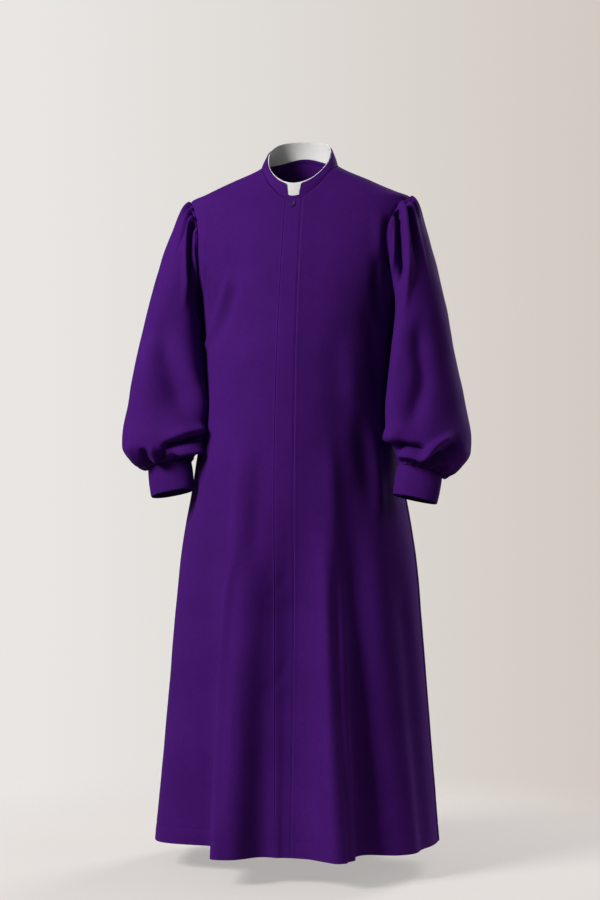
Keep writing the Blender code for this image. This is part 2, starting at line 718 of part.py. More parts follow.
def collar_walls(levels, depth, thickness):
    """Outer and inner points of a band that follows the collar, this far inside its face."""
    angle = np.concatenate([collar_angles(min(level, 1)) for level in levels])
    level = np.repeat(levels, len(angle) // len(levels)).astype(float)
    outward = normals(collar_face, angle, level, (4.0, 0.05))
    face = collar_face(angle, level)
    return face - depth * outward, face - (depth + thickness) * outward


def add_collar():
    """The standing collar, with a notch at the front, and the white band that shows in it."""
    columns = len(collar_angles(0))
    outer, inner = collar_walls(COLLAR_LEVELS, 0.0, STIFF_CLOTH)

    def is_cloth(row, column):
        return COLLAR_LEVELS[row] < NOTCH_LEVEL or column not in (0, columns - 1)

    quads = grid_quads(len(COLLAR_LEVELS), columns, closed=True, is_kept=is_cloth)
    add_wall("collar", outer, inner, split_quads(quads, outer), purple_cloth())

    outer, inner = collar_walls(BAND_LEVELS, STIFF_CLOTH + SEAM_GAP, COLLAR_LINEN)
    quads = grid_quads(len(BAND_LEVELS), columns, closed=True)
    white = material("white_linen", WHITE, 0.6)
    add_wall("clerical_collar", outer, inner, split_quads(quads, outer), white)


def add_button():
    """A dished button at the top of the placket."""
    turn, height = np.zeros(1), np.full(1, BUTTON_HEIGHT)
    outward = normals(robe, turn, height, BODY_STEPS)[0]
    seat = robe(turn, height)[0] + (PLACKET_LIFT + SEAM_GAP) * outward
    across = np.array([1.0, 0.0, 0.0])
    upward = np.cross(outward, across)
    profile = ((1.0, 0.0), (1.0, 0.8), (0.88, 1.0), (0.72, 0.95), (0.60, 0.62))
    angle = np.arange(BUTTON_SIDES) * 2 * np.pi / BUTTON_SIDES
    points = []
    for radius, rise in profile:
        for turned in angle:
            around = np.cos(turned) * across + np.sin(turned) * upward
            place = seat + BUTTON_RADIUS * radius * around + BUTTON_THICKNESS * rise * outward
            points.append(place)
    faces = grid_quads(len(profile), BUTTON_SIDES, closed=True)
    faces.append(tuple(range(BUTTON_SIDES)))
    last = (len(profile) - 1) * BUTTON_SIDES
    faces.append(tuple(range(last, last + BUTTON_SIDES)))
    add_object("button_top", points, faces, material("button", BUTTON_PURPLE, 0.45))


def main():
    for leftover in list(bpy.data.objects):
        bpy.data.objects.remove(leftover)
    add_fronts()
    add_back()
    add_collar()
    add_button()
    for name, side in (("left", 1), ("right", -1)):
        add_sleeve(f"sleeve_{name}", side)
        add_cuff(f"cuff_{name}", side)


main()
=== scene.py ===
"""The looks of a purple clergy robe that hangs in its worn form, with nobody in it.

Each piece of cloth is a thin shell on the form of its solid, drawn at a fine step from the same
body and sleeve shapes, with its creases, seams and stitches. Lengths are in metres and turns in
degrees: 0 at the centre front, 90 at the +X side seam and 180 at the centre back.
"""

from typing import NamedTuple

import bmesh
import bpy
import numpy as np
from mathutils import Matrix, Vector, noise


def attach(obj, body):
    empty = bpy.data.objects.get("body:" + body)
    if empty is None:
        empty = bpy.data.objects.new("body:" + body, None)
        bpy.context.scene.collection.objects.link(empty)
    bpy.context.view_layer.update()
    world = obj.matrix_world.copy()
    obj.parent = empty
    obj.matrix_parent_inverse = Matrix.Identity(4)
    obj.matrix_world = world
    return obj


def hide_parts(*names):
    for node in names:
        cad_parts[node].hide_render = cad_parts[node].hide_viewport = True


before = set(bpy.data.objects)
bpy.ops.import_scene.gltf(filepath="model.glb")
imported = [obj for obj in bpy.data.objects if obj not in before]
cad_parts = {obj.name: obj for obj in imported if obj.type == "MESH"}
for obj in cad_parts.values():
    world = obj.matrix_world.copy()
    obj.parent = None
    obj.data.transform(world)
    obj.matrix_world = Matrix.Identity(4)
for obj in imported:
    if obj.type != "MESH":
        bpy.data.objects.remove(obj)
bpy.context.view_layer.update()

# Cloth
CLOTH = 0.0016
STIFF_CLOTH = 0.0024
COLLAR_LINEN = 0.0012
SEAM_GAP = 0.0003

# Levels of the body
HEM = -1.405
UNDERARM = -0.285
SHOULDER_TIP = -0.070

# Neck seam, seen from above
NECK_HALF_WIDTH = 0.0805
NECK_FRONT = 0.0835
NECK_BACK = 0.062
NECK_LOWEST = -0.130
NECK_HIGHEST = 0.025

# Armhole, seen from the side
LEFT_ARMHOLE_HALF_DEPTH = 0.070
RIGHT_ARMHOLE_HALF_DEPTH = 0.059
ARMHOLE_MIDDLE = (UNDERARM + SHOULDER_TIP) / 2
ARMHOLE_HALF_HEIGHT = (SHOULDER_TIP - UNDERARM) / 2

# Placket
PLACKET_HALF_WIDTH = 0.021
UNDERLAP = 0.018
PLACKET_LIFT = SEAM_GAP + CLOTH
LIFT_ENDS = 0.060
PLACKET_NARROWS = ((-0.55, -0.08), (1.0, 0.88))

SIDE_SWAY = ((-1.405, -0.70, -0.45), (0.005, 0.004, 0.0))
BODY_STEPS = (0.5, 0.002)

# Sections of the body: height, half width, depth at the front and at the back, squareness
BODY = (
    (HEM, 0.2965, 0.245, 0.215, 2.00),
    (-1.077, 0.2690, 0.218, 0.188, 2.08),
    (-0.825, 0.2480, 0.204, 0.165, 2.12),
    (-0.640, 0.2165, 0.197, 0.144, 2.15),
    (-0.500, 0.1990, 0.185, 0.131, 2.20),
    (-0.400, 0.1960, 0.173, 0.128, 2.20),
    (UNDERARM, 0.2060, 0.148, 0.124, 2.20),
    (-0.235, 0.2180, 0.135, 0.120, 2.20),
    (-0.175, 0.2320, 0.117, 0.113, 2.20),
    (-0.110, 0.2380, 0.096, 0.100, 2.15),
    (-0.085, 0.2370, 0.086, 0.094, 2.10),
    (SHOULDER_TIP, 0.2330, 0.080, 0.090, 2.10),
    (-0.055, 0.2004, 0.073, 0.086, 2.08),
    (-0.035, 0.1568, 0.062, 0.080, 2.05),
    (0.000, NECK_HALF_WIDTH, 0.045, 0.070, 2.00),
    (0.020, 0.0620, 0.030, 0.062, 2.00),
    (0.035, 0.0480, 0.020, 0.055, 2.00),
)


class Fold(NamedTuple):
    """A soft ridge of the skirt, or a trough where its rise is negative."""

    turn: float
    lean_per_metre: float
    top: float
    rise: float
    width_before: float
    width_after: float


FOLDS = (
    Fold(-68, 0, -0.85, 0.008, 20, 16),
    Fold(-39, 0, -0.68, -0.056, 28, 16),
    Fold(-20, 4, -0.56, 0.040, 12, 14),
    Fold(-8, 0, -0.90, -0.010, 8, 8),
    Fold(25, -2, -0.56, 0.042, 16, 9),
    Fold(38, -4, -0.80, -0.018, 9, 14),
    Fold(58, 0, -0.85, 0.014, 12, 14),
    Fold(117, 3, -0.62, 0.017, 14, 14),
    Fold(133, 3, -0.80, -0.022, 10, 11),
    Fold(150, 4, -0.50, 0.036, 13, 12),
    Fold(171, 0, -0.74, -0.026, 12, 10),
    Fold(190, -3, -0.46, 0.034, 11, 14),
    Fold(211, -3, -0.82, -0.018, 10, 11),
    Fold(229, -4, -0.56, 0.032, 12, 12),
    Fold(251, -2, -0.90, 0.016, 11, 12),
)
FOLD_GROWTH = 1.25

# Rings of the sleeve: x and z of the point nearest the body, x and z of the outermost point, y of
# the middle, half the depth, and how far the front stands higher
SLEEVE = (
    (0.2045, -0.3350, 0.3120, -0.3000, -0.010, 0.088, 0.0),
    (0.2025, -0.4150, 0.3360, -0.4000, -0.016, 0.098, 0.0),
    (0.2060, -0.4900, 0.3540, -0.4950, -0.028, 0.105, 0.0),
    (0.2125, -0.5450, 0.3635, -0.5600, -0.044, 0.107, 0.0),
    (0.2160, -0.5780, 0.3615, -0.5920, -0.058, 0.100, 0.002),
    (0.2185, -0.6000, 0.3470, -0.6150, -0.070, 0.078, 0.003),
    (0.2190, -0.6120, 0.3280, -0.6280, -0.079, 0.052, 0.005),
    (0.2180, -0.6195, 0.3085, -0.6390, -0.085, 0.033, 0.006),
)
CUFF_BOTTOM = (0.2090, -0.6800, 0.2990, -0.6980, -0.097, 0.031, 0.006)
SLEEVE_SQUARENESS = 2.3
LAST_ROW = 8
LEFT_SLEEVE_DROP = 0.005
SLEEVE_DROP_LENGTH = 0.4
RIGHT_CUFF_INWARD = 0.003
RIGHT_CUFF_LEVELS = (-0.533, -0.640)
# How far the sleeve spreads, swings forward, tucks in and fills out at its rows, in millimetres
SPREAD_ROWS = (0, 0.15, 0.5, 1, 2, 3, 4, 5, 6, 7, 8)
SPREAD_LEFT = (0, -13, -6, -3, -8, -7, -5, -6, -8, -6, 0)
SPREAD_RIGHT = (0, 2, 6, 9, 8, 2, -3, -5, -8, -6, 0)
SWING_LEFT = (0, 1, 6, 16, 30, 36, 30, 18, 6, 0, 0)
SWING_RIGHT = (0, 1, 6, 13, 14, 10, 6, 3, 1, 0, 0)
SPREAD_STARTS = 0.225
SPREAD_WIDTH = 0.07
TUCK_ROWS = (0, 1, 2, 3, 4, 5, 6, 7, 8)
TUCK_LEFT = (0, 0, 4, 14, 20, 12, 6, 2, 0)
TUCK_RIGHT = (0, 3, 16, 36, 46, 50, 48, 22, 0)
TUCK_MIDDLE = 48
TUCK_HALF_WIDTH = 75
FULLNESS_ROWS = (0, 1.2, 2.4, 3.4, 4.6, 5.6, 6.6, 7.4, 8.0)
FULLNESS_LEFT = (0, 0, 1, 3, 7, 10, 10, 5, 0)
FULLNESS_RIGHT = (0, 0, 2, 4, 8, 11, 12, 6, 0)
FULLNESS_MIDDLE = 170
FULLNESS_HALF_WIDTH = 120
CAP_START_TURN = 25.7
CAP_START_ANGLE = 72.0
CAP_LEAVES = (0.02, 0.08)
CAP_ARRIVES = (0.04, 0.20)
CAP_TURNS_FORWARD = 0.55
CAP_TURNS_DOWN = 0.45
ROW_PAST_END = 0.02

# Standing collar
COLLAR_TOP_HALF_WIDTH = 0.069
COLLAR_TOP_FRONT = 0.0765
COLLAR_TOP_BACK = 0.056
COLLAR_TOP_LEVEL = 0.027
COLLAR_TOP_SLOPE = 0.70
COLLAR_TOP_CURVE = 3.17
COLLAR_BOW = 0.0012
CORNER_DIP = 0.10
CORNER_RUN = 0.0045
NOTCH_COLUMNS = 7
NOTCH_LEVEL = 0.26
NOTCH_BOTTOM = 0.012
NOTCH_TOP = 0.0145
LINEN_LEVELS = (0.12, 1.12)

# Edges of the cloth
SEAM_ROLL = 0.0010
SEAM_ROLL_WIDTH = 0.0028
HEM_STITCHED_AT = HEM + 0.0325
HEM_GROOVE = 0.0008
HEM_GROOVE_WIDTH = 0.0016
EDGE_PUFF = 0.0009
EDGE_PUFF_FROM_SEAM = 0.0034
EDGE_PUFF_WIDTH = 0.0022
FREE_EDGE_RISE = 0.0006
FREE_EDGE_RISE_AT = 0.0022
FREE_EDGE_ROLL = 0.0009
FREE_EDGE_WIDTH = 0.0012
TURNED_UNDER = 0.0014
TURNED_DROP = 0.0012
TURNED_FROM = 0.0008
TURNED_WIDTH = 0.0010
RIM_ANGLE = 50
PLACKET_RIM = 0.0005
COLLAR_RIM = 0.0005
CUFF_RIM = 0.0006
LINEN_RIM = 0.0003
CUFF_BOW = 0.0012
CUFF_ROLLS = (0.0008, 0.0006)
CUFF_ROLL_WIDTH = 0.03

# Small uneven rises, for each of the sizes of wrinkles
BODY_WRINKLES = (0.0012, 0.0004)
SLEEVE_WRINKLES = (0.003, 0.0012)
WRINKLES_FROM_HEM = 0.05

# Stitches, and their rings as places along a stitch and shares of its radius
STITCH_LINES = (0.0036, 0.0403)
STITCH_COLUMNS = (-0.045, -0.022, 0, 0.022, 0.045)
STITCH_PITCH = 0.0032
STITCH_LENGTH = 0.0024
STITCH_RADIUS = 0.00028
STITCH_RINGS = ((-0.5, 0.25), (-0.38, 0.85), (0.0, 1.0), (0.38, 0.85), (0.5, 0.25))
GROOVE = 0.0008
GROOVE_WIDTH = 0.0010

# Top button, with its profile from the back round to the dish as shares of radius and thickness
BUTTON_HEIGHT = -0.0885
BUTTON_RADIUS = 0.0063
BUTTON_THICKNESS = 0.0022
BUTTON_SIDES = 48
BUTTON_PROFILE = (
    (0.80, 0.0), (0.95, 0.10), (1.0, 0.35), (1.0, 0.62), (0.97, 0.86), (0.90, 1.0),
    (0.82, 1.0), (0.75, 0.86), (0.68, 0.66), (0.60, 0.60),
)
HOLE_SPACING = 0.00115
HOLE_RADIUS = 0.00062
HOLE_ENDS = (-0.001, 0.004)
THREAD_RADIUS = 0.00026
THREAD_LEVEL = 0.66
THREAD_SHIFT = 0.00016
THREAD_PAST_HOLES = 0.0006
SLIT_HALF = 0.0086
SLIT_GAP = 0.0009
SLIT_PITCH = 0.00055
SLIT_STITCH = 0.0014
SLIT_SINKS = 0.0002
BAR_PLACES = (0.0, 0.0004)
BAR_LENGTH = 0.0034

# Wall, floor and camera. The wall's light on the robe grows from the front to the back
# Painted shade: the wall's colour darkens from left to right, as though lit from the left. The same colour
# also tints the wall's real light on the robe.
WALL_PAINTED_SHADE_ACROSS = (-0.30, 0.02)
WALL_TONES_WITH_PAINTED_SHADE = ((0.815, 0.795, 0.775, 1), (0.615, 0.555, 0.505, 1))
WALL_DEPTH = (-0.6, 0.7)
WALL_LIGHT = (0.042, 0.26)
FLOOR_LEVEL = -1.46
FLOOR_RADIUS = 1.6
FLOOR_FADE = (0.55, 1.25)
FLOOR_GLOW = (0.10, 0.52)
CAMERA_TURN = 10
CAMERA_DISTANCE = 4.2
CAMERA_LEVEL = -0.594
CAMERA_LENS = 80
CAMERA_SENSOR = 36
# Name, place, height that it is turned to, size and power of each lamp
LAMPS = (
    ("key", (-2.8, -2.7, 1.7), -0.6, 1.6, 205),
    ("fill", (1.0, -4.1, 0.5), -0.7, 2.0, 9),
    ("side", (3.7, 0.6, 0.4), -0.7, 1.8, 22),
    ("back", (1.9, 3.8, 1.5), -0.7, 1.8, 125),
)

# Steps of the fine grids
NECK_HALVINGS = 40
HEM_SAMPLES = 900
UNDERLAP_COLUMNS = 8
NECK_STEPS = 34
SHOULDER_STEPS = 34
LOWER_STEPS = 150
UPPER_STEPS = 56
STRIP_STEPS = 26
ROUND_STEPS = 220
CAP_STEPS = 60
TUBE_STEPS = 130
CUFF_STEPS = 96
SLEEVE_STEPS = (1.5, 0.02)
LINEN_COLUMNS = 160
LINEN_ROWS = 12
LINEN_STEPS = (4.0, 0.05)


def curve(start, end, leaving, arriving, part):
    """A smooth curve from start to end, with these tangents there."""
    rest = 1 - part
    return (
        start * rest**2 * (1 + 2 * part)
        + end * part**2 * (3 - 2 * part)
        + part * rest * (rest * leaving - part * arriving)
    )


def through(knots, values, at):
    """A smooth curve through the values, which never overshoots them, read at these places."""
    knots = np.asarray(knots, float)
    values = np.asarray(values, float)
    gap = np.diff(knots)
    slope = np.diff(values) / gap
    before, after = slope[:-1], slope[1:]
    same_way = before * after > 0
    total = np.where(same_way, before + after, 1.0)
    inner_tangent = np.where(same_way, 2 * before * after / total, 0.0)
    tangent = np.concatenate([slope[:1], inner_tangent, slope[-1:]])
    at = np.clip(at, knots[0], knots[-1])
    index = np.clip(np.searchsorted(knots, at, side="right") - 1, 0, len(gap) - 1)
    part = (at - knots[index]) / gap[index]
    leaving, arriving = gap[index] * tangent[index], gap[index] * tangent[index + 1]
    return curve(values[index], values[index + 1], leaving, arriving, part)


def unit(vectors):
    return vectors / np.linalg.norm(vectors, axis=-1, keepdims=True)


def sine_and_cosine(angle):
    return np.sin(np.radians(angle)), np.cos(np.radians(angle))


def signed_power(values, power):
    return np.sign(values) * np.abs(values) ** power


def smooth(share):
    share = np.clip(share, 0, 1)
    return share * share * (3 - 2 * share)


def bell(distance, width):
    return np.exp(-((distance / width) ** 2))


def window(distance, half_width):
    """A smooth rise and fall within this distance of the middle."""
    return np.cos(np.pi / 2 * np.clip(distance / half_width, -1, 1)) ** 2


def crowded(count, near_start=(), near_end=()):
    """Even places from 0 to 1, with a few more close to an end."""
    even = np.linspace(0, 1, count + 1)
    return np.unique(np.concatenate([even, near_start, 1 - np.asarray(near_end)]))


def section(height):
    """Half width, front depth, back depth and squareness of the body at these heights."""
    columns = np.array(BODY).T
    return [through(columns[0], column, height) for column in columns[1:]]


def figure(turn, height):
    """Points of the body shape before the folds."""
    half_width, front, back, squareness = section(height)
    sine, cosine = sine_and_cosine(turn)
    power = 2 / squareness
    x = half_width * signed_power(sine, power) - through(*SIDE_SWAY, height) * sine**2
    y = np.where(cosine > 0, -front, back) * np.abs(cosine) ** power
    return np.stack([x, y, height], axis=-1)


def run_along(line):
    """The distance along a line of points to each of them."""
    return np.concatenate([[0], np.cumsum(np.linalg.norm(np.diff(line, axis=0), axis=1))])


def normals(surface, first, second, steps):
    """Unit normals of a surface with two parameters, from small differences."""
    along_first = surface(first + steps[0], second) - surface(first - steps[0], second)
    along_second = surface(first, second + steps[1]) - surface(first, second - steps[1])
    return unit(np.cross(along_first, along_second))


def fold_rise(turn, height):
    """How far the folds stand out from the body shape."""
    total = np.zeros(np.broadcast(turn, height).shape)
    for fold in FOLDS:
        away = turn - fold.turn - fold.lean_per_metre * (height - HEM)
        width = np.where(away < 0, fold.width_before, fold.width_after)
        grown = np.clip((fold.top - height) / (fold.top - HEM), 0, 1) ** FOLD_GROWTH
        total += fold.rise * window(away, width) * grown
    return total


def robe(turn, height):
    """Points of the cloth's outer face, with its folds, which leave the hem level."""
    outward = normals(figure, turn, height, BODY_STEPS)
    outward = unit(outward * np.array([1.0, 1.0, 0.0]))
    return figure(turn, height) + fold_rise(turn, height)[..., None] * outward


def turn_at_x(x, height):
    """Degrees from the middle of the front or back to the place at this x."""
    half_width, _, _, squareness = section(height)
    share = np.clip(np.abs(x) / half_width, 0, 1)
    return np.sign(x) * np.degrees(np.arcsin(share ** (squareness / 2)))


def neck_seam(angle):
    """Points of the neck seam. The angle is seen from above, 0 at the front and 180 at the back."""
    sine, cosine = sine_and_cosine(angle)
    x = NECK_HALF_WIDTH * sine
    y = -np.where(cosine > 0, NECK_FRONT, NECK_BACK) * cosine
    low = np.full(x.shape, NECK_LOWEST)
    high = np.full(x.shape, NECK_HIGHEST)
    for _ in range(NECK_HALVINGS):
        middle = (low + high) / 2
        half_width, front, back, squareness = section(middle)
        depth = np.where(cosine > 0, front, back)
        reach = (np.abs(x) / half_width) ** squareness + (np.abs(y) / depth) ** squareness
        low = np.where(reach < 1, middle, low)
        high = np.where(reach < 1, high, middle)
    return np.stack([x, y, low], axis=-1)


def armhole(angle, side):
    """Points of an armhole, for +X: 0 at the underarm, 90 at the front, 180 at the shoulder tip."""
    sine, cosine = sine_and_cosine(angle)
    y = -(LEFT_ARMHOLE_HALF_DEPTH if side > 0 else RIGHT_ARMHOLE_HALF_DEPTH) * sine
    z = ARMHOLE_MIDDLE - ARMHOLE_HALF_HEIGHT * cosine
    half_width, front, back, squareness = section(z)
    share = np.abs(y) / np.where(sine > 0, front, back)
    return np.stack([half_width * (1 - share**squareness) ** (1 / squareness), y, z], axis=-1)


def placket_x(x, height):
    """Where a line of the placket runs, since the placket narrows towards the neck."""
    return x * through(*PLACKET_NARROWS, height)


def first_neck_angle(x):
    """The angle at which a line of the placket reaches the neck seam."""
    return np.degrees(np.arcsin(x * PLACKET_NARROWS[1][-1] / NECK_HALF_WIDTH))


def global_turn(quarter_turn, is_front, side):
    return side * quarter_turn if is_front else 180 - side * quarter_turn


LOWER_PLACES = crowded(LOWER_STEPS, (0.0015, 0.003, 0.026, 0.029, 0.032))
UPPER_PLACES = crowded(UPPER_STEPS, (), (0.004, 0.010))[1:]
NECK_PLACES = crowded(NECK_STEPS, (0.006, 0.014, 0.022))
SHOULDER_PLACES = crowded(SHOULDER_STEPS, (), (0.006, 0.012, 0.020))[1:]
COLUMN_PLACES = np.concatenate([NECK_PLACES / 2, (1 + SHOULDER_PLACES) / 2])
LOWER_HEIGHTS = HEM + (UNDERARM - HEM) * LOWER_PLACES


def column_shares(first, is_front, side):
    """Places of the columns between the first turn and the side seam, even along the folded hem."""
    turns = np.linspace(first, 90, HEM_SAMPLES)
    hem = robe(global_turn(turns, is_front, side), np.full(turns.shape, HEM))
    length = run_along(hem)
    return (np.interp(length[-1] * COLUMN_PLACES, length, turns) - first) / (90 - first)


def quarter_grid(is_front, side, edge):
    """Turns and heights of a quarter of the body, from the hem to the neck and shoulder."""
    shares = column_shares(float(turn_at_x(edge, HEM)), is_front, side)
    start = turn_at_x(placket_x(edge, LOWER_HEIGHTS), LOWER_HEIGHTS)[:, None]
    lower_turns = start + (90 - start) * shares
    lower_heights = np.repeat(LOWER_HEIGHTS[:, None], len(shares), axis=1)

    first = first_neck_angle(edge)
    angles = first + (90 - first) * NECK_PLACES
    neck = neck_seam(angles if is_front else 180 - angles)
    tip = armhole(np.array([180.0]), side)[0]
    ridge_heights = SHOULDER_TIP * SHOULDER_PLACES
    ridge = figure(np.full(len(ridge_heights), 90.0), ridge_heights)
    top = np.concatenate([neck, ridge])[:, [0, 2]]
    bottom = figure(lower_turns[-1], lower_heights[-1])[:, [0, 2]]
    step = UPPER_PLACES
    sleeve_edge = armhole(180 * step if is_front else 360 - 180 * step, side)[:, [0, 2]]
    edge_rise = (1 - (1 - step) ** 2)[:, None]
    rise = step[:, None] + (edge_rise - step[:, None]) * shares**2
    pull = sleeve_edge - (1 - edge_rise) * bottom[-1] - edge_rise * tip[[0, 2]]
    upper = (
        (1 - rise[..., None]) * bottom
        + rise[..., None] * top
        + (shares**2)[None, :, None] * pull[:, None, :]
    )
    upper_turns = turn_at_x(upper[..., 0], upper[..., 1])
    upper_turns[-1, len(NECK_PLACES):] = 90
    turns = np.concatenate([lower_turns, upper_turns])
    heights = np.concatenate([lower_heights, upper[..., 1]])
    return global_turn(turns, is_front, side), heights


def strip_grid(places, side):
    """Turns and heights of an upright strip of the front, whose columns keep these x values."""
    turns, heights = [], []
    for x in places:
        neck_height = neck_seam(np.array([first_neck_angle(x)]))[0, 2]
        column = np.concatenate([LOWER_HEIGHTS, UNDERARM + (neck_height - UNDERARM) * UPPER_PLACES])
        heights.append(column)
        turns.append(side * turn_at_x(placket_x(x, column), column))
    return np.stack(turns, axis=1), np.stack(heights, axis=1)


class Crease(NamedTuple):
    """A soft ridge, or a trough where its rise is negative, along a line on a surface.

    The path's points are in the surface's own two parameters. The rise grows over the first part
    of the path, the head, and fades over the last, the tail.
    """

    width: float
    rise: float
    head: float
    tail: float
    path: tuple


def crease_table(rows):
    """Creases from rows of width and rise in millimetres, head, tail and the path's points."""
    return [Crease(row[0] / 1000, row[1] / 1000, row[2], row[3], row[4:]) for row in rows]


PATH_SAMPLES = 14
CREASE_REACH = 3.2
WRINKLE_SIZES = (0.11, 0.045)


def crease_path(surface, path):
    """Points in space along a crease."""
    path = np.array(path, float)
    if len(path) > 2:
        knots = np.arange(len(path))
        at = np.linspace(0, len(path) - 1, PATH_SAMPLES)
        path = np.stack([through(knots, column, at) for column in path.T], axis=1)
    else:
        at = np.linspace(0, 1, PATH_SAMPLES)[:, None]
        path = path[0] * (1 - at) + path[1] * at
    return surface(path[:, 0], path[:, 1])


def crease_rise(points, surface, creases):
    """How far the creases lift each point of a grid."""
    flat = points.reshape(-1, 3)
    total = np.zeros(len(flat))
    for crease in creases:
        line = crease_path(surface, crease.path)
        reach = crease.width * CREASE_REACH
        near = np.all((flat > line.min(0) - reach) & (flat < line.max(0) + reach), axis=1)
        spots = flat[near]
        nearest = np.full(len(spots), np.inf)
        part = np.zeros(len(spots))
        for k in range(len(line) - 1):
            way = line[k + 1] - line[k]
            share = np.clip((spots - line[k]) @ way / (way @ way), 0, 1)
            gap = np.linalg.norm(spots - line[k] - share[:, None] * way, axis=1)
            closer = gap < nearest
            nearest = np.where(closer, gap, nearest)
            part = np.where(closer, (k + share) / (len(line) - 1), part)
        head = smooth(part / crease.head) if crease.head else 1.0
        tail = smooth((1 - part) / crease.tail) if crease.tail else 1.0
        total[near] += crease.rise * bell(nearest, crease.width) * head * tail
    return total.reshape(points.shape[:-1])


def wrinkles(points, rises):
    """Small uneven rises of the cloth, one for each size."""
    flat = points.reshape(-1, 3)
    total = np.zeros(len(flat))
    for size, rise in zip(WRINKLE_SIZES, rises):
        total += rise * np.array([noise.noise(Vector(point) / size) for point in flat])
    return total.reshape(points.shape[:-1])


def grid_lengths(points):
    """Distance of each point of a grid from its first column and from its first row."""
    across = np.linalg.norm(np.diff(points, axis=1), axis=-1)
    down = np.linalg.norm(np.diff(points, axis=0), axis=-1)
    from_column = np.concatenate([np.zeros((points.shape[0], 1)), np.cumsum(across, axis=1)], axis=1)
    from_row = np.concatenate([np.zeros((1, points.shape[1])), np.cumsum(down, axis=0)])
    return from_column, from_row


def add_object(name, data, place=(0, 0, 0), rotation=(0, 0, 0)):
    made = bpy.data.objects.new(name, data)
    made.location = place
    made.rotation_euler = rotation
    bpy.context.scene.collection.objects.link(made)
    return made


def add_shell(name, points, outward, thickness, rounded=0.0, closed=False, is_kept=None):
    """Cloth whose outer face is this grid of points, with its wall inside and its rim rounded.

    Its distances along the cloth are its texture coordinates, and outward is the way that its
    first face looks.
    """
    rows, columns = points.shape[:2]
    measured = np.concatenate([points, points[:, :1]], axis=1) if closed else points
    across, down = grid_lengths(measured)
    quads, corners = [], []
    for row in range(rows - 1):
        for column in range(columns if closed else columns - 1):
            if is_kept is not None and not is_kept(row, column):
                continue
            after = column + 1
            places = ((row, column), (row, after), (row + 1, after), (row + 1, column))
            quads.append([r * columns + c % columns for r, c in places])
            corners += [(across[r, c], down[r, c]) for r, c in places]
    mesh = bpy.data.meshes.new(name)
    mesh.from_pydata(points.reshape(-1, 3).tolist(), [], quads)
    layer = mesh.uv_layers.new(name="cloth_metres")
    layer.data.foreach_set("uv", np.array(corners, np.float32).ravel())
    mesh.shade_smooth()
    if mesh.polygons[0].normal.dot(Vector(outward)) < 0:
        mesh.flip_normals()
    made = add_object(name, mesh)
    wall = made.modifiers.new("wall", "SOLIDIFY")
    wall.thickness = thickness
    wall.offset = -1.0
    wall.use_even_offset = False
    if rounded:
        rim = made.modifiers.new("rim", "BEVEL")
        rim.width = rounded
        rim.segments = 2
        rim.limit_method = "ANGLE"
        rim.angle_limit = np.radians(RIM_ANGLE)
    return made


def tube_mesh(name, tubes):
    """A mesh of closed tubes, each given as its rings of points."""
    points, faces = [], []
    for rings in tubes:
        first, sides = len(points), len(rings[0])
        points += np.concatenate(rings).tolist()
        for start in range(first, len(points) - sides, sides):
            for k in range(sides):
                a, b = start + k, start + (k + 1) % sides
                faces.append((a, b, b + sides, a + sides))
        faces.append([first + k for k in reversed(range(sides))])
        faces.append([len(points) - sides + k for k in range(sides)])
    mesh = bpy.data.meshes.new(name)
    mesh.from_pydata(points, [], faces)
    return mesh


def set_inputs(tree, node, inputs):
    """Sets each input to its value, or links it where another node's output is given."""
    for key, value in inputs.items():
        if isinstance(value, bpy.types.NodeSocket):
            tree.links.new(value, node.inputs[key])
        else:
            node.inputs[key].default_value = value


def add_node(tree, kind, inputs, **settings):
    node = tree.nodes.new("ShaderNode" + kind)
    for key, value in settings.items():
        setattr(node, key, value)
    set_inputs(tree, node, inputs)
    return node


def math_node(tree, operation, first, second=0.0):
    return add_node(tree, "Math", {0: first, 1: second}, operation=operation).outputs[0]


def noise_node(tree, place, scale, detail, roughness):
    inputs = {"Vector": place, "Scale": scale, "Detail": detail, "Roughness": roughness}
    return add_node(tree, "TexNoise", inputs).outputs["Fac"]


def bump_node(tree, height, strength, distance):
    return add_node(tree, "Bump", {"Height": height, "Strength": strength, "Distance": distance}).outputs[0]


def map_range(tree, value, from_range=(0, 1), to_range=(0, 1), kind="LINEAR"):
    """The value carried over from one range to another."""
    inputs = {"Value": value, "From Min": from_range[0], "From Max": from_range[1]}
    inputs.update({"To Min": to_range[0], "To Max": to_range[1]})
    return add_node(tree, "MapRange", inputs, interpolation_type=kind).outputs[0]


def two_tones(tree, value, places, tones):
    """A colour that goes from one tone to the other between two places of the value."""
    ramp = add_node(tree, "ValToRGB", {0: value})
    for element, place, tone in zip(ramp.color_ramp.elements, places, tones):
        element.position = place
        element.color = tone
    return ramp.outputs[0]


def new_material(name):
    made = bpy.data.materials.new(name)
    made.use_nodes = True
    return made, made.node_tree, made.node_tree.nodes["Principled BSDF"]


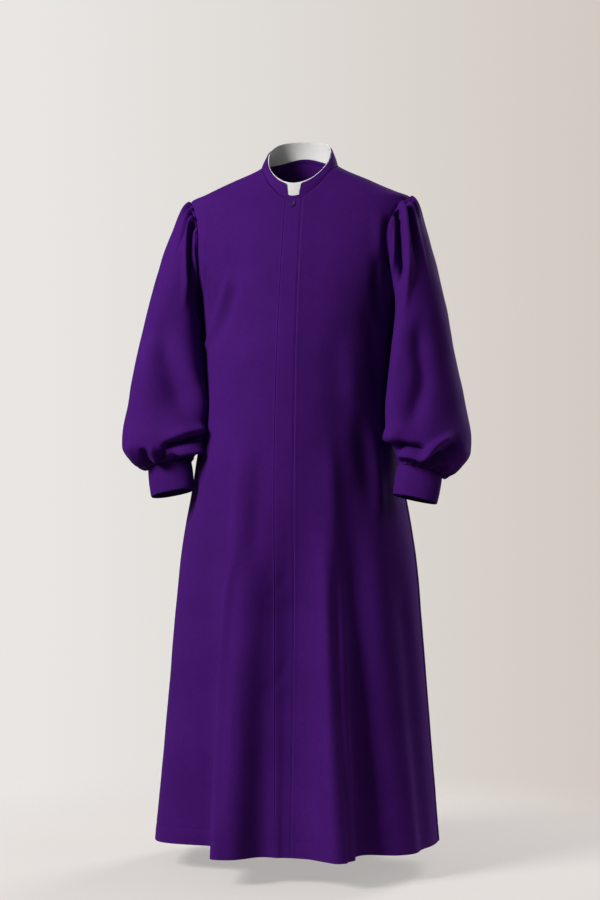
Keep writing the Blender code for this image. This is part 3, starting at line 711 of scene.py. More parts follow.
def cloth_material(name, dark, light, threads_per_metre, roughness, sheen, bump):
    """Woven cloth: threads both ways, slubs, and a slow change of tone."""
    made, tree, shader = new_material(name)
    place = add_node(tree, "UVMap", {}, uv_map="cloth_metres").outputs[0]
    split = add_node(tree, "SeparateXYZ", {0: place})
    waves = []
    for axis in (0, 1):
        phase = math_node(tree, "MULTIPLY", split.outputs[axis], 2 * np.pi * threads_per_metre)
        waves.append(math_node(tree, "SINE", phase))
    weave = math_node(tree, "MULTIPLY", *waves)

    slubs = []
    for stretch in ((700.0, 60.0, 1.0), (60.0, 700.0, 1.0)):
        stretched = add_node(tree, "Mapping", {"Vector": place, "Scale": stretch}).outputs[0]
        slubs.append(noise_node(tree, stretched, 1.0, 2.0, 0.6))
    slub = math_node(tree, "ADD", *slubs)

    where = add_node(tree, "TexCoord", {}).outputs["Object"]
    tone = math_node(tree, "MULTIPLY", noise_node(tree, where, 9.0, 3.0, 0.55), 0.5)
    mixed = math_node(tree, "ADD", math_node(tree, "MULTIPLY", slub, 0.5), tone)
    mixed = math_node(tree, "ADD", mixed, math_node(tree, "MULTIPLY", weave, 0.06))
    relief = math_node(tree, "ADD", weave, math_node(tree, "MULTIPLY", slub, 1.5))
    inputs = {
        "Base Color": two_tones(tree, mixed, (0.52, 0.98), (dark, light)),
        "Normal": bump_node(tree, relief, bump, 0.0002),
        "Roughness": roughness,
        "Specular IOR Level": 0.04,
        "Sheen Weight": sheen,
        "Sheen Roughness": 0.45,
        "Sheen Tint": (0.55, 0.25, 1.0, 1.0),
    }
    set_inputs(tree, shader, inputs)
    return made


def grained_material(name, dark, light, grains_per_metre, roughness, specular, bump):
    """Thread or plastic: a fine grain in the tone, the roughness and the relief."""
    made, tree, shader = new_material(name)
    where = add_node(tree, "TexCoord", {}).outputs["Object"]
    grain = noise_node(tree, where, grains_per_metre, 2.0, 0.6)
    rough = math_node(tree, "MULTIPLY", grain, roughness[1] - roughness[0])
    inputs = {
        "Base Color": two_tones(tree, grain, (0.30, 0.70), (dark, light)),
        "Normal": bump_node(tree, grain, bump, 0.0001),
        "Roughness": math_node(tree, "ADD", rough, roughness[0]),
        "Specular IOR Level": specular,
    }
    set_inputs(tree, shader, inputs)
    return made


PURPLE_CLOTH = cloth_material(
    "purple_cloth",
    dark=(0.048, 0.0062, 0.126, 1),
    light=(0.070, 0.0100, 0.180, 1),
    threads_per_metre=1500,
    roughness=0.82,
    sheen=0.05,
    bump=0.25,
)
WHITE_LINEN = cloth_material(
    "white_linen",
    dark=(0.74, 0.73, 0.71, 1),
    light=(0.86, 0.86, 0.85, 1),
    threads_per_metre=1800,
    roughness=0.55,
    sheen=0.0,
    bump=0.12,
)
THREAD = grained_material(
    "purple_thread",
    dark=(0.066, 0.013, 0.175, 1),
    light=(0.104, 0.023, 0.265, 1),
    grains_per_metre=6000,
    roughness=(0.48, 0.62),
    specular=0.10,
    bump=0.30,
)
BUTTON_SATIN = grained_material(
    "button_satin",
    dark=(0.032, 0.006, 0.090, 1),
    light=(0.048, 0.010, 0.130, 1),
    grains_per_metre=900,
    roughness=(0.34, 0.50),
    specular=0.25,
    bump=0.08,
)


def dress(made, node, finish=PURPLE_CLOTH):
    """Rides a piece, in place of its solid, and gives it its finish."""
    made.data.materials.clear()
    made.data.materials.append(finish)
    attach(made, "root")
    if node:
        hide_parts(node)


# Creases of the fronts and the back, with (turn, height) points
BODY_CREASES = crease_table((
    (7.5, 5.5, 0.3, 0.2, (-32, -0.215), (-38, -0.262), (-46, -0.31), (-62, -0.362), (-84, -0.4)),
    (12, -6, 0.3, 0.3, (-27, -0.235), (-33, -0.285), (-41, -0.335), (-56, -0.39)),
    (10, -4, 0.3, 0.3, (-42, -0.235), (-50, -0.285), (-62, -0.33)),
    (5, 3, 0.4, 0.4, (-50, -0.13), (-52.5, -0.165), (-54, -0.19)),
    (6, -5, 0.3, 0.3, (-54, -0.205), (-59, -0.245), (-64, -0.282)),
    (5.5, 4, 0.3, 0.4, (-50, -0.215), (-56, -0.26), (-60, -0.3)),
    (14, 4, 0.4, 0.4, (46.5, -0.095), (48, -0.15), (51, -0.215)),
    (11, -7.5, 0.25, 0.3, (52.8, -0.097), (55.2, -0.164), (59.5, -0.205), (68, -0.295)),
    (15, -5, 0.3, 0.4, (48, -0.185), (56, -0.27), (66, -0.36)),
    (20, -6, 0.4, 0.3, (46, -0.27), (54, -0.35), (62, -0.44), (68, -0.52)),
    (24, 5, 0.4, 0.4, (35, -0.33), (39, -0.44), (41, -0.54)),
    (20, -7, 0.4, 0.4, (46, -0.5), (47, -0.6), (48, -0.72)),
    (18, 6, 0.4, 0.4, (57, -0.54), (55, -0.66), (50, -0.79)),
    (16, 5, 0.4, 0.4, (24, -0.52), (24.5, -0.66), (23, -0.8), (22, -0.95)),
    (22, -6, 0.4, 0.3, (-11, -0.54), (-12, -0.7), (-13, -0.86)),
    (20, 5, 0.4, 0.3, (-24, -0.56), (-23, -0.7), (-21, -0.86)),
    (20, -5, 0.4, 0.4, (-60, -0.56), (-64, -0.68), (-68, -0.8)),
    (10, 6, 0.3, 0.4, (128, -0.15), (132, -0.215), (140, -0.29)),
    (11, -6, 0.3, 0.4, (118, -0.19), (124, -0.255), (134, -0.33)),
    (10, 5.5, 0.3, 0.4, (232, -0.15), (228, -0.22), (220, -0.3)),
    (12, -6, 0.3, 0.4, (242, -0.185), (237, -0.25), (226, -0.335)),
    (13, 5, 0.3, 0.5, (112, -0.32), (122, -0.375), (136, -0.42)),
    (13, 5, 0.3, 0.5, (250, -0.33), (240, -0.385), (224, -0.43)),
    (12, 4, 0.4, 0.4, (160, -0.06), (170, -0.072), (181, -0.076), (192, -0.071), (202, -0.058)),
    (12, 11.5, 0.3, 0, (-20.5, -0.76), (-24.5, -0.896), (-25.2, -1.056), (-24.5, -1.214), (-22.2, -1.405)),
    (50, -24, 0.3, 0, (4, -0.64), (3.5, -0.9), (3, -1.053), (2.5, -1.21), (2.5, -1.405)),
    (26, -5, 0.4, 0, (-36, -0.9), (-38, -1.1), (-39, -1.405)),
    (13, 6, 0.35, 0, (16.5, -0.7), (18.8, -0.893), (19.2, -1.05), (20, -1.206), (21.5, -1.405)),
    (15, -11, 0.3, 0, (24.3, -0.64), (24, -0.893), (24.5, -1.05), (25.6, -1.206), (27.5, -1.405)),
    (30, -13, 0.3, 0, (33, -0.64), (33.5, -0.9), (34, -1.1), (35, -1.405)),
    (30, 6, 0.35, 0, (47, -0.7), (48, -0.9), (49, -1.1), (50, -1.405)),
    (24, -5, 0.35, 0, (64, -0.82), (65, -1.05), (65, -1.405)),
    (10, -1.3, 0.4, 0.4, (4, -0.99), (-3, -1.06), (-11, -1.11)),
    (10, -1.1, 0.4, 0.4, (4, -0.82), (-2, -0.87), (-9, -0.905)),
    (34, -5, 0.35, 0.4, (31, -0.3), (32, -0.38), (32, -0.48), (31, -0.57), (30, -0.66)),
    (22, 6, 0.4, 0.4, (150, -0.48), (152, -0.6), (151, -0.72)),
    (22, 5.5, 0.4, 0.4, (206, -0.5), (204, -0.62), (206, -0.74)),
))


def draped(turns, heights, lift):
    """Points of the body's cloth, the way out of them, and its lift with creases and wrinkles."""
    base = robe(turns, heights)
    outward = normals(robe, turns, heights, BODY_STEPS)
    rise = lift + crease_rise(base, robe, BODY_CREASES)
    above_hem = smooth((base[..., 2] - HEM) / WRINKLES_FROM_HEM + 0.5)
    return base, outward, rise + wrinkles(base, BODY_WRINKLES) * above_hem


def panel(turns, heights, lift=0.0, rolls_first=False):
    """Points of a panel's outer face, with its sewn hem and its turned-in seams."""
    base, outward, rise = draped(turns, heights, lift)
    across, down = grid_lengths(base)
    from_seams = [across[:, -1:] - across, down[-1:] - down]
    if rolls_first:
        from_seams.append(across)
    for distance in from_seams:
        rise = rise - SEAM_ROLL * bell(distance, SEAM_ROLL_WIDTH)
    rise = rise - HEM_GROOVE * bell(heights - HEM_STITCHED_AT, HEM_GROOVE_WIDTH)
    return base + rise[..., None] * outward


def add_fronts():
    strip = strip_grid(np.linspace(-UNDERLAP, PLACKET_HALF_WIDTH, UNDERLAP_COLUMNS)[:-1], -1)
    quarter = quarter_grid(True, -1, PLACKET_HALF_WIDTH)
    turns, heights = [np.concatenate(pair, axis=1) for pair in zip(strip, quarter)]
    right = add_shell("front_right_cloth", panel(turns, heights), (0, -1, 0), CLOTH)
    dress(right, "front_right")

    turns, heights = quarter_grid(True, 1, PLACKET_HALF_WIDTH + SEAM_GAP)
    away = figure(turns, heights)[..., 0] - placket_x(PLACKET_HALF_WIDTH, heights)
    lift = PLACKET_LIFT * (1 - smooth(away / (LIFT_ENDS - PLACKET_HALF_WIDTH)))
    lift = lift + EDGE_PUFF * bell(away - EDGE_PUFF_FROM_SEAM, EDGE_PUFF_WIDTH)
    left = add_shell("front_left_cloth", panel(turns, heights, lift, True), (0, -1, 0), CLOTH)
    dress(left, "front_left")


def add_back():
    left, right = [panel(*quarter_grid(False, side, 0.0)) for side in (1, -1)]
    points = np.concatenate([left[:, ::-1], right[:, 1:]], axis=1)
    back = add_shell("back_cloth", points, (0, 1, 0), CLOTH)
    dress(back, "back")


def stitch(centre, along, outward, length, radius):
    """The rings of a small rounded stitch."""
    sine, cosine = sine_and_cosine(np.arange(6)[:, None] * 60)
    ring = cosine * np.cross(outward, along) + sine * outward
    return [centre + along * length * place + ring * radius * share for place, share in STITCH_RINGS]


def add_thread(name, stitches):
    mesh = tube_mesh(name, stitches)
    mesh.shade_smooth()
    dress(add_object(name, mesh), None, THREAD)


def add_stitch_line(name, line, outward):
    """Stitches along a line on the cloth."""
    run = run_along(line)
    middles = np.arange(STITCH_PITCH / 2, run[-1], STITCH_PITCH)

    def at(values, place):
        return np.stack([np.interp(place, run, column) for column in values.T], axis=-1)

    ahead = unit(at(line, middles + STITCH_PITCH / 4) - at(line, middles - STITCH_PITCH / 4))
    ways = zip(at(line, middles), ahead, unit(at(outward, middles)))
    add_thread(name, [stitch(*way, STITCH_LENGTH, STITCH_RADIUS) for way in ways])


def add_placket():
    width = 2 * PLACKET_HALF_WIDTH
    near_stitches = [line / width + step for line in STITCH_LINES for step in STITCH_COLUMNS]
    even = crowded(STRIP_STEPS, (0.012, 0.025), (0.012, 0.025))
    places = np.append(np.unique(np.concatenate([even, near_stitches])), 1 + TURNED_UNDER / width)
    turns, heights = strip_grid(width * places - PLACKET_HALF_WIDTH, 1)
    base, outward, rise = draped(turns, heights, PLACKET_LIFT)
    across = np.broadcast_to(places * width, turns.shape)
    for line in STITCH_LINES:
        rise = rise - GROOVE * bell(across - line, GROOVE_WIDTH)
    rise = rise + FREE_EDGE_RISE * bell(across - FREE_EDGE_RISE_AT, FREE_EDGE_WIDTH)
    rise = rise - FREE_EDGE_ROLL * bell(across, FREE_EDGE_WIDTH)
    rise = rise - TURNED_DROP * smooth((across - width + TURNED_FROM) / TURNED_WIDTH)
    points = base + rise[..., None] * outward
    strip = add_shell("placket_cloth", points, (0, -1, 0), CLOTH, PLACKET_RIM)
    for k, line in enumerate(STITCH_LINES):
        column = int(np.argmin(np.abs(places * width - line)))
        add_stitch_line(f"placket_stitches_{k + 1}", points[:, column], outward[:, column])
    dress(strip, "placket")


def add_button():
    """A four-hole button in its stitched buttonhole."""
    turn, height = np.zeros(1), np.full(1, BUTTON_HEIGHT)
    outward = normals(robe, turn, height, BODY_STEPS)[0]
    seat = robe(turn, height)[0] + (PLACKET_LIFT + SEAM_GAP) * outward
    across = np.array([1.0, 0.0, 0.0])
    upward = np.cross(outward, across)
    sine, cosine = sine_and_cosine(np.arange(BUTTON_SIDES)[:, None] * 360 / BUTTON_SIDES)
    around = cosine * across + sine * upward
    rings = [
        seat + BUTTON_RADIUS * share * around + BUTTON_THICKNESS * rise * outward
        for share, rise in BUTTON_PROFILE
    ]
    button = add_object("button_top_satin", tube_mesh("button_top_satin", [rings]))

    holes = []
    for x_way in (-1, 1):
        for z_way in (-1, 1):
            middle = seat + HOLE_SPACING * (x_way * across + z_way * upward)
            holes.append([middle + HOLE_RADIUS * around[::4] + end * outward for end in HOLE_ENDS])
    cutter = add_object("holes", tube_mesh("holes", holes))
    cut = button.modifiers.new("holes", "BOOLEAN")
    cut.object = cutter
    cut.solver = "EXACT"
    graph = bpy.context.evaluated_depsgraph_get()
    pierced = bpy.data.meshes.new_from_object(button.evaluated_get(graph))
    button.modifiers.clear()
    button.data = pierced
    bpy.data.objects.remove(cutter)
    dress(button, "button_top", BUTTON_SATIN)

    # Thread through the holes, upright on the dish, two strands for each pair
    level = seat + BUTTON_THICKNESS * THREAD_LEVEL * outward
    strand = 2 * HOLE_SPACING + THREAD_PAST_HOLES
    stitches = []
    for x_way in (-1, 1):
        for shift in (-THREAD_SHIFT, THREAD_SHIFT):
            centre = level + (x_way * HOLE_SPACING + shift) * across
            stitches.append(stitch(centre, upward, outward, strand, THREAD_RADIUS))
    # Buttonhole: a row of stitches above and below its slit, and a bar at each end
    base = seat - (SEAM_GAP - SLIT_SINKS) * outward
    for z_way in (-1, 1):
        for x in np.arange(-SLIT_HALF, SLIT_HALF, SLIT_PITCH):
            centre = base + x * across + z_way * SLIT_GAP * upward
            stitches.append(stitch(centre, upward, outward, SLIT_STITCH, THREAD_RADIUS))
    for x_way in (-1, 1):
        for x in BAR_PLACES:
            centre = base + x_way * (SLIT_HALF + x) * across
            stitches.append(stitch(centre, upward, outward, BAR_LENGTH, STITCH_RADIUS))
    add_thread("button_thread", stitches)


def ring_points(rings, row, angle):
    """Points of the tube through these rings: 0 nearest the body, 90 at the front, 180 outermost."""
    table = np.array(rings).T
    places = np.arange(len(rings))
    inner_x, inner_z, outer_x, outer_z, middle_y, half_depth, rise = [
        through(places, column, row) for column in table
    ]
    sine, cosine = [signed_power(part, 2 / SLEEVE_SQUARENESS) for part in sine_and_cosine(angle)]
    x = (inner_x + outer_x) / 2 - (outer_x - inner_x) / 2 * cosine
    z = (inner_z + outer_z) / 2 - (outer_z - inner_z) / 2 * cosine + rise * sine
    return np.stack([x, middle_y - half_depth * sine, z], axis=-1)


def cap_angle(even):
    """Angle round the armhole of each place round a sleeve."""
    places = (0, CAP_START_TURN, 360 - CAP_START_TURN, 360)
    return np.interp(even, places, (0, CAP_START_ANGLE, 360 - CAP_START_ANGLE, 360))


def leaving_way(angle):
    """Unit direction in which the sleeve's cloth leaves the armhole."""
    sine, cosine = sine_and_cosine(angle)
    ahead = [np.ones_like(sine), -CAP_TURNS_FORWARD * sine, -CAP_TURNS_DOWN * cosine]
    return unit(np.stack(ahead, axis=-1))


def sleeve_start(angle, side):
    """The sleeve's edge, a seam gap away from the armhole."""
    sine, cosine = sine_and_cosine(angle)
    place = armhole(angle, side)
    quarter = turn_at_x(place[..., 0], place[..., 2])
    turn = np.where(sine >= 0, quarter, 180 - quarter)
    outward = normals(figure, turn, place[..., 2], BODY_STEPS)
    around = unit(armhole(angle + 1, side) - armhole(angle - 1, side))
    weight = ((1 + cosine) / 2)[..., None]
    return place + SEAM_GAP * unit((1 - weight) * np.cross(around, outward) + weight * outward)


def sleeve_base(even, row, side):
    """A sleeve before its gathers, drawn on the +X side."""
    even = even % 360
    tube_row = np.clip(row - 1, 0, LAST_ROW - 1)
    angle = cap_angle(even) + (even - cap_angle(even)) * smooth(tube_row / 3)
    tube = ring_points(SLEEVE, tube_row, angle)
    tube = tube + (row - 1 - tube_row)[..., None] * np.array([0.0, 0.0, -ROW_PAST_END])

    start_angle = cap_angle(even)
    outer_share = (1 - np.cos(np.radians(start_angle))) / 2
    start = sleeve_start(start_angle, side)
    end = ring_points(SLEEVE, np.zeros_like(even), start_angle)
    downward = unit(ring_points(SLEEVE, np.full_like(even, 0.2), start_angle) - end)
    first_tangent = leaving_way(start_angle) * np.interp(outer_share, (0, 1), CAP_LEAVES)[..., None]
    last_tangent = downward * np.interp(outer_share, (0, 1), CAP_ARRIVES)[..., None]
    part = np.clip(row, -0.1, 1)[..., None]
    cap = curve(start, end, first_tangent, last_tangent, part)
    points = np.where((row < 1)[..., None], cap, tube)
    is_left = side > 0
    spread = through(SPREAD_ROWS, SPREAD_LEFT if is_left else SPREAD_RIGHT, row) / 1000
    swing = through(SPREAD_ROWS, SWING_LEFT if is_left else SWING_RIGHT, row) / 1000
    outer_share = smooth((points[..., 0] - SPREAD_STARTS) / SPREAD_WIDTH)
    front_share = np.clip(np.sin(np.radians(angle)), 0, 1) ** 2
    tuck = through(TUCK_ROWS, TUCK_LEFT if is_left else TUCK_RIGHT, row) / 1000
    tuck_share = window(angle - TUCK_MIDDLE, TUCK_HALF_WIDTH)
    points[..., 0] += spread * outer_share - swing * front_share - tuck * tuck_share
    return points


def place_on_side(points, side):
    """Mirrors a +X piece to its own side, and lets the wearer's left arm hang a little lower."""
    depth = smooth((SHOULDER_TIP - points[..., 2]) / SLEEVE_DROP_LENGTH)
    moved = points.copy()
    if side < 0:
        start, end = RIGHT_CUFF_LEVELS
        moved[..., 0] -= RIGHT_CUFF_INWARD * smooth((points[..., 2] - start) / (end - start))
    moved[..., 2] -= side * LEFT_SLEEVE_DROP * depth
    moved[..., 0] *= side
    return moved


# Gathers: how many, first and last turn, row where they start and the furthest that they reach,
# width in degrees, and rise
CAP_GATHERS = (9, 182, 330, 0.0, 1.0, 4.0, 0.0060)
CUFF_GATHERS = (13, 152, 360, 8.6, 3.8, 5.0, 0.0070)
LEFT_SEED = 5
RIGHT_SEED = 11

# Creases of each sleeve, with (angle, row) points: the ones that the front view shows
RIGHT_SLEEVE_CREASES = crease_table((
    (6.2, -19, 0.1, 0.45, (99, 0.03), (94.5, 0.14), (66, 0.25), (41.5, 0.35), (22, 0.47), (13, 0.75)),
    (11, -12, 0.3, 0.5, (16, 0.16), (10, 0.45), (9, 1)),
    (4.5, 6, 0.15, 0.35, (88, 0.03), (82, 0.13), (56, 0.17), (26, 0.14), (4, 0.3)),
    (7, 12, 0.1, 0.45, (112, 0.03), (109, 0.16), (84, 0.27), (56, 0.38), (36, 0.6), (28, 0.95)),
    (4.8, -10, 0.1, 0.6, (122, 0.02), (118, 0.14), (107, 0.32), (92, 0.55)),
    (4.8, 6, 0.1, 0.6, (133, 0.01), (130, 0.14), (122, 0.42)),
    (4.2, -8, 0.1, 0.6, (145, 0.01), (141, 0.12), (134, 0.32)),
    (5, 5, 0.15, 0.6, (158, 0.01), (152, 0.18), (143, 0.55)),
    (5, -5, 0.15, 0.6, (172, 0.01), (168, 0.2), (160, 0.45)),
    (26, -13, 0.35, 0.35, (78, 0.9), (71, 1.6), (68.5, 2.3), (70.5, 3.1), (66, 4.1)),
    (30, 8, 0.4, 0.4, (104, 1.3), (104, 2.4), (100, 3.9)),
    (20, 7, 0.4, 0.4, (40, 1.6), (38, 2.8), (36, 4.2)),
    (8, -36, 0.15, 0.4, (92, 5.55), (76, 5.25), (62, 4.95), (44, 4.85), (22, 4.95)),
    (13, 12, 0.3, 0.4, (92, 4.75), (66, 4.45), (46, 4.35), (26, 4.45)),
    (6.5, 9, 0.2, 0.4, (84, 6.2), (68, 6.05), (48, 6), (26, 6.1)),
    (6, -13, 0.3, 0.1, (108, 5.2), (112, 5.9), (120, 6.8), (128, 7.7)),
    (5.5, -14, 0.3, 0.1, (92, 5.5), (93, 6.3), (95, 7.6)),
    (6.5, 8, 0.3, 0.2, (99, 5), (101, 6.1), (106, 7.5)),
    (9, 7, 0.3, 0.2, (124, 4.6), (132, 5.8), (142, 7.4)),
    (7, -8, 0.4, 0.1, (140, 5.6), (146, 6.5), (152, 7.7)),
    (4.5, -8, 0.5, 0, (74, 6.5), (74, 7.7)),
    (4.5, -6, 0.5, 0, (56, 6.4), (56, 7.8)),
    (4.5, -7, 0.5, 0, (38, 6.6), (38, 7.8)),
    (4.5, -6, 0.5, 0, (20, 6.5), (20, 7.8)),
))
LEFT_SLEEVE_CREASES = crease_table((
    (6.6, -21, 0.1, 0.3, (115, 0.03), (111.5, 0.15), (95, 0.26), (77.5, 0.35), (51.5, 0.45), (24.5, 0.58)),
    (4.5, 6, 0.15, 0.3, (104, 0.03), (103, 0.16), (82.5, 0.23), (53.5, 0.28), (24, 0.26), (12, 0.5)),
    (
        7.5, 14, 0.1, 0.35,
        (136, 0.02), (130, 0.13), (117, 0.26), (104, 0.39), (83, 0.54), (58, 0.7), (34, 0.98),
    ),
    (6.2, -12, 0.12, 0.5, (146, 0.03), (134.5, 0.24), (116, 0.45), (99, 0.64)),
    (7, 7, 0.15, 0.6, (152, 0.02), (146, 0.18), (134, 0.45), (122, 0.9)),
    (5, -6, 0.15, 0.6, (163, 0.02), (158, 0.14), (150, 0.42)),
    (5.5, 5, 0.15, 0.6, (174, 0.01), (170, 0.16), (164, 0.45)),
    (20, -13, 0.3, 0.35, (76, 0.8), (90, 1.7), (104, 2.5), (98, 3.3), (84, 4.1)),
    (8, -32, 0.25, 0.25, (30, 5.4), (52, 5.25), (70, 5.1), (92, 5.1), (104, 5.3)),
    (13, 11, 0.2, 0.4, (34, 4.5), (60, 4.35), (88, 4.4)),
    (7, 8, 0.2, 0.3, (40, 5.95), (62, 5.8), (84, 5.75), (98, 5.9)),
    (9, 16, 0.25, 0.4, (86, 6.4), (100, 5.6), (116, 4.85), (131, 4.3), (146, 3.7)),
    (12, -24, 0.2, 0.4, (98, 7.2), (110, 6.2), (124, 5.35), (140, 4.8), (154, 4.3)),
    (4.5, -9, 0.4, 0, (64, 6.4), (62, 7.8)),
    (5, -11, 0.4, 0, (82, 6.3), (80, 7.8)),
    (5, -10, 0.4, 0, (97, 6.2), (95, 7.8)),
    (4.5, -7, 0.4, 0, (46, 6.5), (45, 7.8)),
    (4.5, -7, 0.4, 0, (28, 6.5), (28, 7.8)),
    (5, -8, 0.4, 0, (112, 6.6), (110, 7.8)),
    (6.5, -8, 0.4, 0, (136, 6.2), (128, 7.8)),
    (8, 7, 0.4, 0.1, (148, 5.9), (142, 7.7)),
))


def gather_rise(even, row, seed, count, first_turn, last_turn, start, reach, width, rise):
    """The rise of gathers of uneven size and spacing, the same on each run."""
    random = np.random.RandomState(seed)
    total = np.zeros(even.shape)
    for k in range(count):
        turn = first_turn + (last_turn - first_turn) / count * (k + 0.5 + random.uniform(-0.28, 0.28))
        lean = random.uniform(-5, 5)
        part = (row - start) / ((reach - start) * random.uniform(0.45, 1.0))
        along = np.clip(part, 0, 1)
        own_width = width * random.uniform(0.7, 1.35) * (1 + 0.8 * along)
        own_rise = rise * random.uniform(0.55, 1.3)
        away = (even - turn - lean * along + 180) % 360 - 180
        total += own_rise * smooth(part / 0.12) * smooth((1 - part) / 0.75) * bell(away, own_width)
    return total


def add_sleeve(word, side):
    is_left = side > 0
    tube_rows = np.linspace(1, LAST_ROW, TUBE_STEPS + 1)
    rows = np.concatenate([crowded(CAP_STEPS, (0.003, 0.008))[:-1], tube_rows])
    even, row = np.meshgrid(np.arange(ROUND_STEPS) * 360 / ROUND_STEPS, rows)

    def surface(even, row):
        return sleeve_base(even, row, side)

    outward = -normals(surface, even, row, SLEEVE_STEPS)
    base = surface(even, row)
    seed = LEFT_SEED if is_left else RIGHT_SEED
    rise = gather_rise(even, row, seed, *CAP_GATHERS) + gather_rise(even, row, seed + 1, *CUFF_GATHERS)
    rise = rise + crease_rise(base, surface, LEFT_SLEEVE_CREASES if is_left else RIGHT_SLEEVE_CREASES)
    fullness = through(FULLNESS_ROWS, FULLNESS_LEFT if is_left else FULLNESS_RIGHT, row) / 1000
    rise = rise + fullness * window(even - FULLNESS_MIDDLE, FULLNESS_HALF_WIDTH)
    rise = rise * smooth((LAST_ROW + 0.4 - row) / 0.9)
    between_ends = smooth(row / 0.3) * smooth((LAST_ROW - row) / 2)
    rise = rise + wrinkles(base, SLEEVE_WRINKLES) * between_ends
    points = place_on_side(base + rise[..., None] * outward, side)
    first_way = outward[0, 0] * (side, 1, 1)
    sleeve = add_shell(f"sleeve_{word}_cloth", points, first_way, CLOTH, closed=True)
    dress(sleeve, f"sleeve_{word}")


def add_cuff(word, side):
    around_cuff = np.arange(CUFF_STEPS) * 360 / CUFF_STEPS
    angle, row = np.meshgrid(around_cuff, crowded(14, (0.01, 0.03), (0.01, 0.03)))

    def band(angle, row):
        return ring_points((SLEEVE[-1], CUFF_BOTTOM), row, angle)

    around = band(angle + 1, row) - band(angle - 1, row)
    along = band(angle, np.ones_like(row)) - band(angle, np.zeros_like(row))
    outward = unit(np.cross(along, around))
    rise = CUFF_BOW * np.sin(np.pi * row)
    for roll, share in zip(CUFF_ROLLS, (row, 1 - row)):
        rise = rise - roll * bell(share, CUFF_ROLL_WIDTH)
    points = place_on_side(band(angle, row) + rise[..., None] * outward, side)
    first_way = outward[0, 0] * (side, 1, 1)
    cuff = add_shell(f"cuff_{word}_cloth", points, first_way, STIFF_CLOTH, CUFF_RIM, closed=True)
    dress(cuff, f"cuff_{word}")


def collar_face(angle, level):
    """The outer face of the collar, from the neck seam at level 0 to its top at level 1."""
    base = neck_seam(angle) + np.array([0.0, 0.0, SEAM_GAP])
    sine, cosine = sine_and_cosine(angle)
    top_x = COLLAR_TOP_HALF_WIDTH * sine
    top_y = -np.where(cosine > 0, COLLAR_TOP_FRONT, COLLAR_TOP_BACK) * cosine
    top_z = COLLAR_TOP_LEVEL + COLLAR_TOP_SLOPE * top_y - COLLAR_TOP_CURVE * top_y**2
    top = np.stack([top_x, top_y, top_z], axis=-1)
    away = unit(np.stack([sine, -cosine, np.zeros_like(cosine)], axis=-1))
    level = np.asarray(level, float)[..., None]
    return base * (1 - level) + top * level + COLLAR_BOW * np.sin(np.pi * level) * away


def collar_columns(level):
    """Angles of the collar's columns at a level, from one side of the notch round to the other."""
    notch_half = np.interp(level, (NOTCH_LEVEL, 1), (NOTCH_BOTTOM, NOTCH_TOP))
    half_width = NECK_HALF_WIDTH + (COLLAR_TOP_HALF_WIDTH - NECK_HALF_WIDTH) * level
    notch = np.degrees(np.arcsin(notch_half / half_width))
    inside = np.linspace(-1, 1, NOTCH_COLUMNS + 2)[1:-1] * notch
    places = crowded(150, (0.002, 0.005, 0.008), (0.002, 0.005, 0.008))
    return np.concatenate([inside, notch + (360 - 2 * notch) * places])


def add_collar():
    levels = np.concatenate([np.linspace(0, NOTCH_LEVEL, 5), np.linspace(NOTCH_LEVEL, 1, 12)[1:]])
    angle = np.stack([collar_columns(level) for level in levels])
    level = np.repeat(levels[:, None], angle.shape[1], axis=1)
    count = angle.shape[1]
    top = collar_face(angle, level)[-1]
    runs = [np.linalg.norm(top - top[column], axis=-1) for column in (NOTCH_COLUMNS, -1)]
    run = np.where(np.arange(count) >= NOTCH_COLUMNS, np.minimum(*runs), 0)
    dip = CORNER_DIP * (1 - np.clip(run / CORNER_RUN, 0, 1)) ** 2
    points = collar_face(angle, level - dip * smooth((level - 0.5) / 0.5))

    def is_cloth(row, column):
        in_notch = column < NOTCH_COLUMNS or column == count - 1
        return levels[row] < NOTCH_LEVEL - 1e-6 or not in_notch

    collar = add_shell("collar_cloth", points, (0, -1, 0), STIFF_CLOTH, COLLAR_RIM, True, is_cloth)
    dress(collar, "collar")

    around = np.arange(LINEN_COLUMNS) * 360 / LINEN_COLUMNS
    angle, level = np.meshgrid(around, np.linspace(*LINEN_LEVELS, LINEN_ROWS))
    outward = normals(collar_face, angle, level, LINEN_STEPS)
    points = collar_face(angle, level) - (STIFF_CLOTH + SEAM_GAP) * outward
    band = add_shell("clerical_collar_linen", points, (0, -1, 0), COLLAR_LINEN, LINEN_RIM, True)
    dress(band, "clerical_collar", WHITE_LINEN)


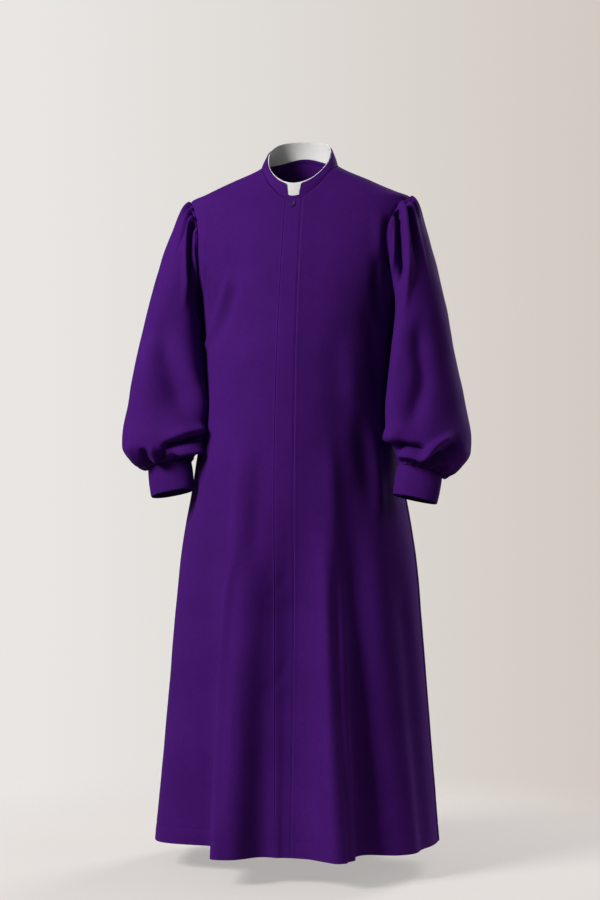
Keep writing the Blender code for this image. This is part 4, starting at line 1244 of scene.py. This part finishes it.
def add_stage():
    """A pale floor whose edge fades into the pale surroundings."""
    shape = bmesh.new()
    bmesh.ops.create_circle(shape, cap_ends=True, radius=FLOOR_RADIUS, segments=96)
    mesh = bpy.data.meshes.new("floor")
    shape.to_mesh(mesh)
    shape.free()
    floor = add_object("floor", mesh, (0, 0, FLOOR_LEVEL))
    made, tree, shader = new_material("floor")
    is_seen = add_node(tree, "LightPath", {}).outputs["Is Camera Ray"]
    inputs = {
        "Base Color": (0.40, 0.375, 0.36, 1),
        "Roughness": 0.9,
        "Specular IOR Level": 0.1,
        "Emission Color": (0.80, 0.765, 0.745, 1),
        "Emission Strength": map_range(tree, is_seen, to_range=FLOOR_GLOW),
    }
    set_inputs(tree, shader, inputs)
    where = add_node(tree, "TexCoord", {}).outputs["Object"]
    distance = add_node(tree, "VectorMath", {0: where}, operation="LENGTH").outputs["Value"]
    fade = map_range(tree, distance, FLOOR_FADE, kind="SMOOTHSTEP")
    clear = add_node(tree, "BsdfTransparent", {}).outputs[0]
    mixed = add_node(tree, "MixShader", {0: fade, 1: shader.outputs[0], 2: clear}).outputs[0]
    set_inputs(tree, tree.nodes["Material Output"], {"Surface": mixed})
    floor.data.materials.append(made)


def add_surroundings():
    """A pale wall all round, which gives less light from the front than from the back."""
    world = bpy.data.worlds.new("studio")
    world.use_nodes = True
    tree = world.node_tree
    where = add_node(tree, "TexCoord", {}).outputs["Generated"]
    split = add_node(tree, "SeparateXYZ", {0: where})
    # Painted shade: the wall grows darker towards the right, and its light on the robe takes the same
    # tones.
    across = map_range(tree, split.outputs[0], WALL_PAINTED_SHADE_ACROSS)
    tones = {0: across, 6: WALL_TONES_WITH_PAINTED_SHADE[0], 7: WALL_TONES_WITH_PAINTED_SHADE[1]}
    tone = add_node(tree, "Mix", tones, data_type="RGBA").outputs[2]
    to_others = map_range(tree, split.outputs[1], WALL_DEPTH, WALL_LIGHT, "SMOOTHSTEP")
    is_seen = add_node(tree, "LightPath", {}).outputs["Is Camera Ray"]
    strength = map_range(tree, is_seen, to_range=(to_others, 1.0))
    set_inputs(tree, tree.nodes["Background"], {"Color": tone, "Strength": strength})
    bpy.context.scene.world = world
    bpy.context.scene.view_settings.view_transform = "Standard"


def add_lamps():
    for name, place, target_height, size, power in LAMPS:
        lamp = bpy.data.lights.new(name, "AREA")
        lamp.shape = "SQUARE"
        lamp.size = size
        lamp.energy = power
        way = Vector((0, 0, target_height)) - Vector(place)
        add_object(name, lamp, place, way.to_track_quat("-Z", "Y").to_euler())


def add_camera():
    camera = bpy.data.cameras.new("camera")
    camera.lens = CAMERA_LENS
    camera.sensor_width = CAMERA_SENSOR
    camera.sensor_fit = "AUTO"
    sine, cosine = sine_and_cosine(CAMERA_TURN)
    place = (CAMERA_DISTANCE * sine, -CAMERA_DISTANCE * cosine, CAMERA_LEVEL)
    rotation = (np.pi / 2, 0, np.radians(CAMERA_TURN))
    bpy.context.scene.camera = add_object("camera", camera, place, rotation)


add_camera()
add_surroundings()
add_lamps()
add_stage()
add_fronts()
add_back()
add_placket()
for word, side in (("left", 1), ("right", -1)):
    add_cuff(word, side)
    add_sleeve(word, side)
add_collar()
add_button()
